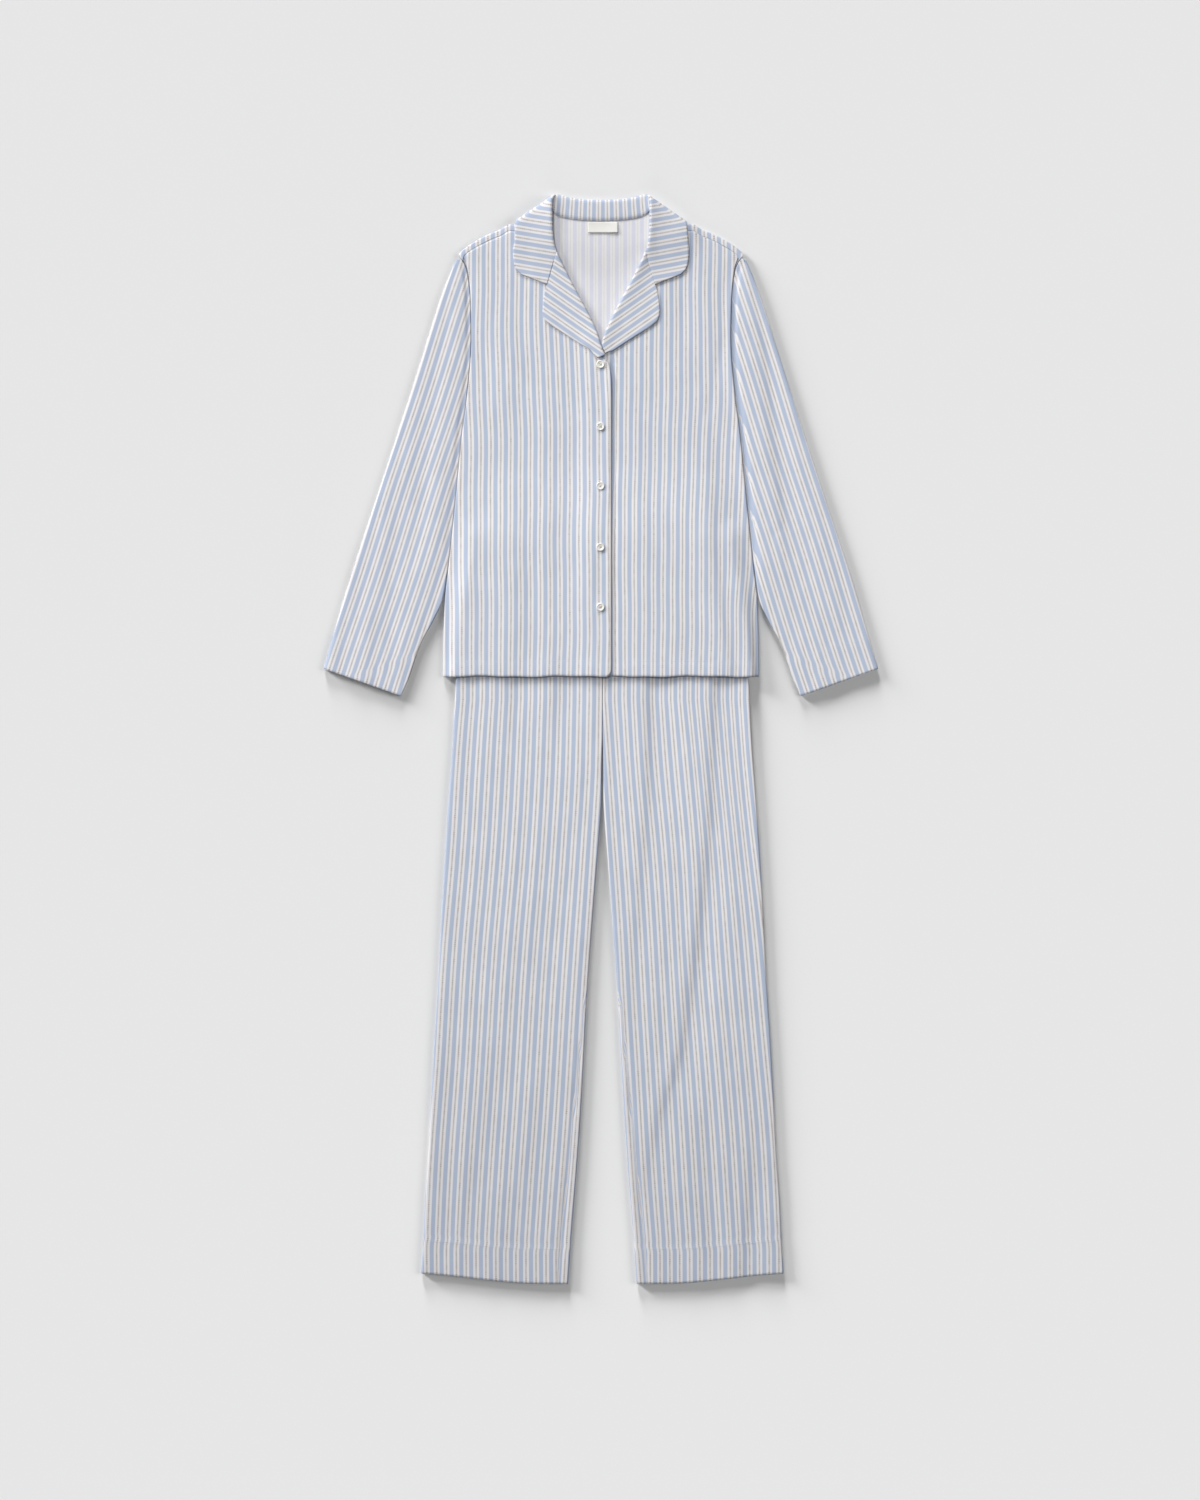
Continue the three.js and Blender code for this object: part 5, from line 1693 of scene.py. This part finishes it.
@dataclass
class PyjamaTop:
    """The whole top: panels, collar, lapels, label, buttons and stitching."""

    wardrobe: Wardrobe
    needle: Needle
    back: TopBack = field(default_factory=TopBack)

    def build(self) -> None:
        """Makes every piece of the top and puts it in place."""
        middle, stripes = self.back.surface()
        self.panel(Shell("back_panel", middle, stripes, CLOTH, Face.WRONG, Face.RIGHT),
                   "wrong_side", (0.46, 0.68), ["trouser_waistband", "collar_piece"], (), "top_back")
        for side, name in ((-1, "right"), (1, "left")):
            self.front(side, name)
            self.sleeve(side, name)
        middle, stripes, wall = Collar().surface()
        self.panel(Shell("collar_piece", middle, stripes, wall, Face.RIGHT, Face.RIGHT),
                   "flannel", (0.5, 0.125), ["front_panel_right", "front_panel_left"], (), "collar")
        for side, name in ((-1, "right"), (1, "left")):
            middle, stripes = Lapel(side).surface()
            self.panel(Shell(f"lapel_piece_{name}", middle, stripes, TWO_PLY, Face.RIGHT, Face.RIGHT),
                       "flannel", (0.09, 0.165), [f"front_panel_{name}"], (), f"lapel_{name}")
        label = NeckLabel()
        middle, stripes = label.surface()
        tape = Shell("blank_label", middle, stripes, label.wall).build(self.wardrobe)
        tape.data.materials[0] = tape.data.materials[1] = self.wardrobe.tape
        dress(tape, "label", "neck_label")
        Button().build(self.wardrobe)

    def panel(self, shell: Shell, slot: str, flat: tuple, rests: Sequence[str], trims: Sequence,
              *nodes: str) -> bpy.types.Object:
        """Builds one cloth piece and puts it in place.

        Args:
            shell: the piece's surface.
            slot: the record's material slot.
            flat: the width and length of its cut, in metres; not used.
            rests: what it lies on; not used.
            trims: stitches sewn on it; not used.
            nodes: the solids that it stands for.

        Returns:
            The piece.
        """
        piece = dress(shell.build(self.wardrobe), slot, *nodes)
        return piece

    def front(self, side: int, name: str) -> None:
        """Makes one front with its hem and placket stitches."""
        part = TopFront(side, self.back)
        middle, stripes = part.surface()
        lift = CLOTH / 2 + 0.12
        row = int(np.argmin(np.abs(middle[:, 20, 1] - 107)))
        hem = middle[row, 2:-7] + (0, 0, lift)
        column = 6 if side < 0 else 3
        rows = (middle[:, 0, 1] > 95) & (middle[:, 0, 1] < 505)
        edge = middle[rows, column] + (0, 0, lift)
        lines = [hem, edge] if side < 0 else [hem]
        stitches = self.needle.sew(f"front_stitches_{name}", lines)
        self.panel(Shell(f"front_panel_{name}", middle, stripes, CLOTH), "flannel",
                   (0.245, 0.66), ["back_panel"], [stitches], f"top_front_{name}")

    def sleeve(self, side: int, name: str) -> None:
        """Makes one sleeve with its cuff stitches."""
        middle, stripes = Sleeve(side).surface()
        row = int(np.argmin(np.abs(middle[:, -8, 1] - 59.5 - 50)))
        columns = middle.shape[1]
        over = middle[row, columns // 2 + 6: columns - 7] + (0, 0, CLOTH / 2 + 0.12)
        stitches = self.needle.sew(f"cuff_stitches_{name}", [over])
        self.panel(Shell(f"sleeve_piece_{name}", middle, stripes, CLOTH, ring=True), "flannel",
                   (0.36, 0.64), [], [stitches], f"sleeve_{name}")


# ---- the trousers ---------------------------------------------------------------------------


@dataclass
class LegPanel:
    """A front or a back of one trouser leg."""

    side: int
    front: bool
    seam_strip: Curve = Curve([-745, -650, -560, -480, -400, -330], [14, 13, 11, 8, 4, 0])

    def level(self, x: np.ndarray, y: np.ndarray) -> np.ndarray:
        """The middle of the front panel, with its long folds."""
        across = self.side * x + TROUSER_CENTRE
        return CLOTH / 2 + LAYER + drape(LEG_DRAPE, across, y) * smooth(x, 6, 30) * smooth(LEG_SIDE(y) - x, 4, 20)

    def hem_line(self, x: np.ndarray) -> np.ndarray:
        """The hem's height: level near the inseam, rising to the side."""
        return HEM_Y + HEM_RISE * smooth(x, 90, 270)

    def seam_line(self, y: np.ndarray) -> np.ndarray:
        """How far the inseam lies in from the inner edge where it has rolled to the front."""
        return self.seam_strip(y)

    def surface(self) -> tuple:
        """Returns the middle points and the stripes."""
        table = LEG_FRONT_TABLE if self.front else LEG_BACK_TABLE
        rows = 290 if self.front else 200
        s_fine = np.linspace(0, table.count - 1, 2000)
        height = table.read("inner_y", s_fine)
        s = np.interp(np.linspace(height[0], height[-1], rows), height, s_fine)
        inner = np.stack([table.read("inner_x", s), table.read("inner_y", s)], 1)
        side_y = table.read("side_y", s)
        outer = np.stack([LEG_SIDE(side_y), side_y], 1)
        run = outer - inner
        span = np.linalg.norm(run, axis=1)
        distance, turned = edge_profile(span, True, True, 3.6 if self.front else 6.0)
        place = inner[:, None] + run[:, None] * (distance / span[:, None])[..., None]
        x, y = place[..., 0], place[..., 1]
        table_hem = TABLE_HEM_Y + TABLE_HEM_RISE * (x - 30)
        y = y + (self.hem_line(x) - table_hem) * (1 - smooth(y, -742, -600))
        high, low = self.level(x, y), CLOTH / 2 + 0 * x
        hold = np.ones_like(x)
        near = turned.argmin(axis=1)[0]
        hold[:, :near] = (1 - smooth(inner[:, 1], CROTCH_Y - 30, CROTCH_Y))[:, None]
        if self.front:
            high = keep_above(high + self.relief(x, y, distance, span), low + CLOTH + 0.15)
            z = turned_level(high, low, turned, hold)
        else:
            z = turned_level(low, high, turned, hold)
        run_of = RIGHT_LEG_STRIPES if self.side < 0 else LEFT_LEG_STRIPES
        number = run_of.number(x, y)
        strip = self.seam_line(y)
        in_strip = smooth(strip - distance, -0.8, 0.8) * smooth(strip, 1, 3)
        number = lerp(number, (distance - 12.5) / REPEAT - 1, in_strip)
        number = number + 0.03 * np.sin(y / 55 + 2 * self.side)
        hem_turn = y - self.hem_line(x) - 50
        number = number + 0.06 * np.exp(-((hem_turn / 5) ** 2)) - 0.04 * (1 - smooth(hem_turn, -3, 3))
        middle = np.stack([self.side * x + TROUSER_CENTRE, y, z], -1)
        return middle, np.stack([number, y / REPEAT], -1)

    def relief(self, x: np.ndarray, y: np.ndarray, distance: np.ndarray, span: np.ndarray) -> np.ndarray:
        """Creases, soft swells, the rolled inseam's groove and the thicker hem."""
        away = smooth(distance, 2, 14) * smooth(span[:, None] - distance, 2, 14)
        swell = (undulation(61 + self.side, x, y, 64, 0.28) + undulation(67, x, y, 22, 0.09)) * away
        strip = self.seam_line(y)
        groove = 1.5 * np.exp(-(((distance - strip) / 1.4) ** 2)) * smooth(strip, 3, 7)
        from_hem = y - self.hem_line(x)
        pucker = 0.12 * np.sin(distance / 2.8) * np.exp(-(((from_hem - 50) / 6) ** 2))
        hem = 0.35 * (1 - smooth(from_hem, 49, 52)) + pucker
        return swell - troughs(LEG_CREASES, self.side, x, y) * away - groove + hem


@dataclass
class PyjamaTrousers:
    """The trousers: four panels and a gathered waistband."""

    wardrobe: Wardrobe
    needle: Needle
    band_low: float = 235.0
    band_high: float = 270.0
    band_wall: float = 1.5

    def build(self) -> None:
        """Makes every piece of the trousers and puts it in place."""
        for side, name in ((-1, "right"), (1, "left")):
            self.leg(side, name, True)
            self.leg(side, name, False)
        shell = self.waistband()
        band = dress(shell.build(self.wardrobe), "flannel", "waistband")

    def leg(self, side: int, name: str, front: bool) -> None:
        """Makes one panel of a leg."""
        kind = "front" if front else "back"
        middle, stripes = LegPanel(side, front).surface()
        trims = []
        if front:
            row = int(np.argmin(np.abs(middle[:, 30, 1] + 761.5 - 50)))
            trims = [self.needle.sew(f"hem_stitches_{name}", [middle[row, 8:-8] + (0, 0, CLOTH / 2 + 0.12)])]
        faces = (Face.RIGHT, Face.WRONG) if front else (Face.WRONG, Face.RIGHT)
        shell = Shell(f"leg_{kind}_{name}", middle, stripes, CLOTH, *faces)
        piece = dress(shell.build(self.wardrobe), "flannel", f"trouser_{kind}_{name}")

    def waistband(self) -> Shell:
        """The band round both layers, rippled by its elastic."""
        low = self.band_wall / 2
        high = CLOTH + LAYER - self.band_wall / 2
        middle, round_ = (low + high) / 2, (high - low) / 2
        rows = []
        for y in np.linspace(self.band_low, self.band_high, 13):
            reach = LEG_SIDE(np.array([y]))[0] - round_ - self.band_wall / 2
            flat = np.linspace(-1, 1, 121)
            bend = np.linspace(-math.pi / 2, math.pi / 2, 9)[1:-1]
            ripple = 0.18 * np.sin(flat * reach / 1.9) * math.sin(math.pi * (y - self.band_low) / 35)
            lower = np.stack([flat * reach, middle - round_ + 0 * flat], 1)
            right = np.stack([reach + round_ * np.cos(bend), middle + round_ * np.sin(bend)], 1)
            upper = np.stack([-flat * reach, middle + round_ + ripple], 1)
            left = np.stack([-reach - round_ * np.cos(bend), middle - round_ * np.sin(bend)], 1)
            ring = np.concatenate([lower, right, upper, left])
            rows.append(np.stack([ring[:, 0] + TROUSER_CENTRE, np.full(len(ring), y), ring[:, 1]], 1))
        grid = np.array(rows)
        stripes = np.stack([grid[..., 0] / REPEAT, grid[..., 1] / REPEAT], -1)
        return Shell("trouser_waistband", grid, stripes, self.band_wall, ring=True)


# ---- the studio -----------------------------------------------------------------------------


@dataclass(frozen=True)
class Lamp:
    """A soft distant light.

    Args:
        name: the light's name.
        share: its share of the light on a level surface.
        spread: its angular size in degrees.
        elevation: degrees above the floor.
        bearing: degrees clockwise from +Y that it comes from.
    """

    name: str
    share: float
    spread: float
    elevation: float
    bearing: float


FLOOR_LAMPS = (
    Lamp("floor_low_back", 0.28, 13, 8.6, 350),
    Lamp("floor_low_left", 0.33, 14, 8.8, 306),
    Lamp("floor_right", 0.21, 30, 24, 88),
    Lamp("floor_front", 0.05, 20, 18, 190),
)
CLOTH_LAMPS = (
    Lamp("cloth_key_left", 0.29, 20, 24, 300),
    Lamp("cloth_key_back", 0.28, 22, 26, 350),
)


@dataclass
class Studio:
    """The pale floor, the soft light from the upper left and the camera overhead."""

    wardrobe: Wardrobe
    level: float = 3.12
    room_strength: float = 0.145
    pool_energy: float = 151.0
    pool_angle: float = 40.0
    pool_place: tuple = (-0.95, 1.0, 3.4)
    pool_aim: tuple = (-0.04, 0.33, 0)
    on_floor: bpy.types.Collection = field(init=False)
    on_cloth: bpy.types.Collection = field(init=False)
    view_width: float = 1.68
    lens: float = 85.0
    sensor: float = 36.0
    centre: tuple = (-0.0014, -0.016)

    def build(self) -> None:
        """Sets up the floor, the lights and the camera."""
        self.on_floor = bpy.data.collections.new("lit_floor")
        self.on_cloth = bpy.data.collections.new("lit_cloth")
        self.floor()
        self.lights()
        self.camera()

    def floor(self) -> None:
        """Lays the floor just under the set."""
        mesh = bpy.data.meshes.new("studio_floor")
        size = 9.0
        low = -0.0002
        corners = [(-size, -size, low), (size, -size, low), (size, size, low), (-size, size, low)]
        mesh.from_pydata(corners, [], [(0, 1, 2, 3)])
        mesh.materials.append(self.wardrobe.floor)
        obj = bpy.data.objects.new("studio_floor", mesh)
        bpy.context.scene.collection.objects.link(obj)
        self.on_floor.objects.link(obj)

    def lights(self) -> None:
        """Low soft lights for the floor, two keys and an overhead pool for the cloth, a white room."""
        for lamp in FLOOR_LAMPS:
            self.sun(lamp, self.on_floor)
        for lamp in CLOTH_LAMPS:
            self.sun(lamp, self.on_cloth)
        data = bpy.data.lights.new("overhead_pool", "SPOT")
        data.energy = self.pool_energy
        data.shadow_soft_size = 0.45
        data.spot_size = math.radians(self.pool_angle)
        data.spot_blend = 1.0
        pool = bpy.data.objects.new("overhead_pool", data)
        pool.location = self.pool_place
        down = Vector(self.pool_aim) - pool.location
        pool.rotation_euler = down.to_track_quat("-Z", "Y").to_euler()
        bpy.context.scene.collection.objects.link(pool)
        pool.light_linking.receiver_collection = self.on_cloth
        world = bpy.data.worlds.new("studio_room")
        world.use_nodes = True
        room = world.node_tree.nodes["Background"]
        room.inputs["Color"].default_value = (1, 1, 1, 1)
        room.inputs["Strength"].default_value = self.room_strength
        bpy.context.scene.world = world
        bpy.context.scene.view_settings.view_transform = "Standard"

    def sun(self, lamp: Lamp, lit: bpy.types.Collection) -> None:
        """Adds a soft distant light.

        Args:
            lamp: its strength and place.
            lit: what it lights.
        """
        data = bpy.data.lights.new(lamp.name, "SUN")
        e, b = math.radians(lamp.elevation), math.radians(lamp.bearing)
        data.energy = lamp.share * self.level / math.sin(e)
        data.angle = math.radians(lamp.spread)
        obj = bpy.data.objects.new(lamp.name, data)
        source = Vector((math.sin(b) * math.cos(e), math.cos(b) * math.cos(e), math.sin(e)))
        obj.rotation_euler = source.to_track_quat("Z", "Y").to_euler()
        obj.location = source * 4
        bpy.context.scene.collection.objects.link(obj)
        obj.light_linking.receiver_collection = lit

    def light_cloth(self) -> None:
        """Lists every piece of the set for the lights that shine on the cloth."""
        for obj in bpy.context.scene.objects:
            if obj.type == "MESH" and obj.name != "studio_floor":
                self.on_cloth.objects.link(obj)

    def camera(self) -> None:
        """Hangs the camera straight above, framed as the photograph is."""
        data = bpy.data.cameras.new("overhead_camera")
        data.lens = self.lens
        data.sensor_width = self.sensor
        data.sensor_fit = "AUTO"
        obj = bpy.data.objects.new("overhead_camera", data)
        view_height = self.view_width * 1500 / 1200
        distance = view_height * self.lens / self.sensor
        obj.location = (self.centre[0], self.centre[1], distance)
        data.clip_end = 60
        bpy.context.scene.collection.objects.link(obj)
        bpy.context.scene.camera = obj


def main() -> None:
    """Builds the set and the studio."""
    logging.basicConfig(level=logging.INFO, format="%(message)s")
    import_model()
    wardrobe = Wardrobe()
    needle = Needle(wardrobe)
    studio = Studio(wardrobe)
    studio.build()
    PyjamaTrousers(wardrobe, needle).build()
    PyjamaTop(wardrobe, needle).build()
    studio.light_cloth()


if __name__ == "__main__":
    main()
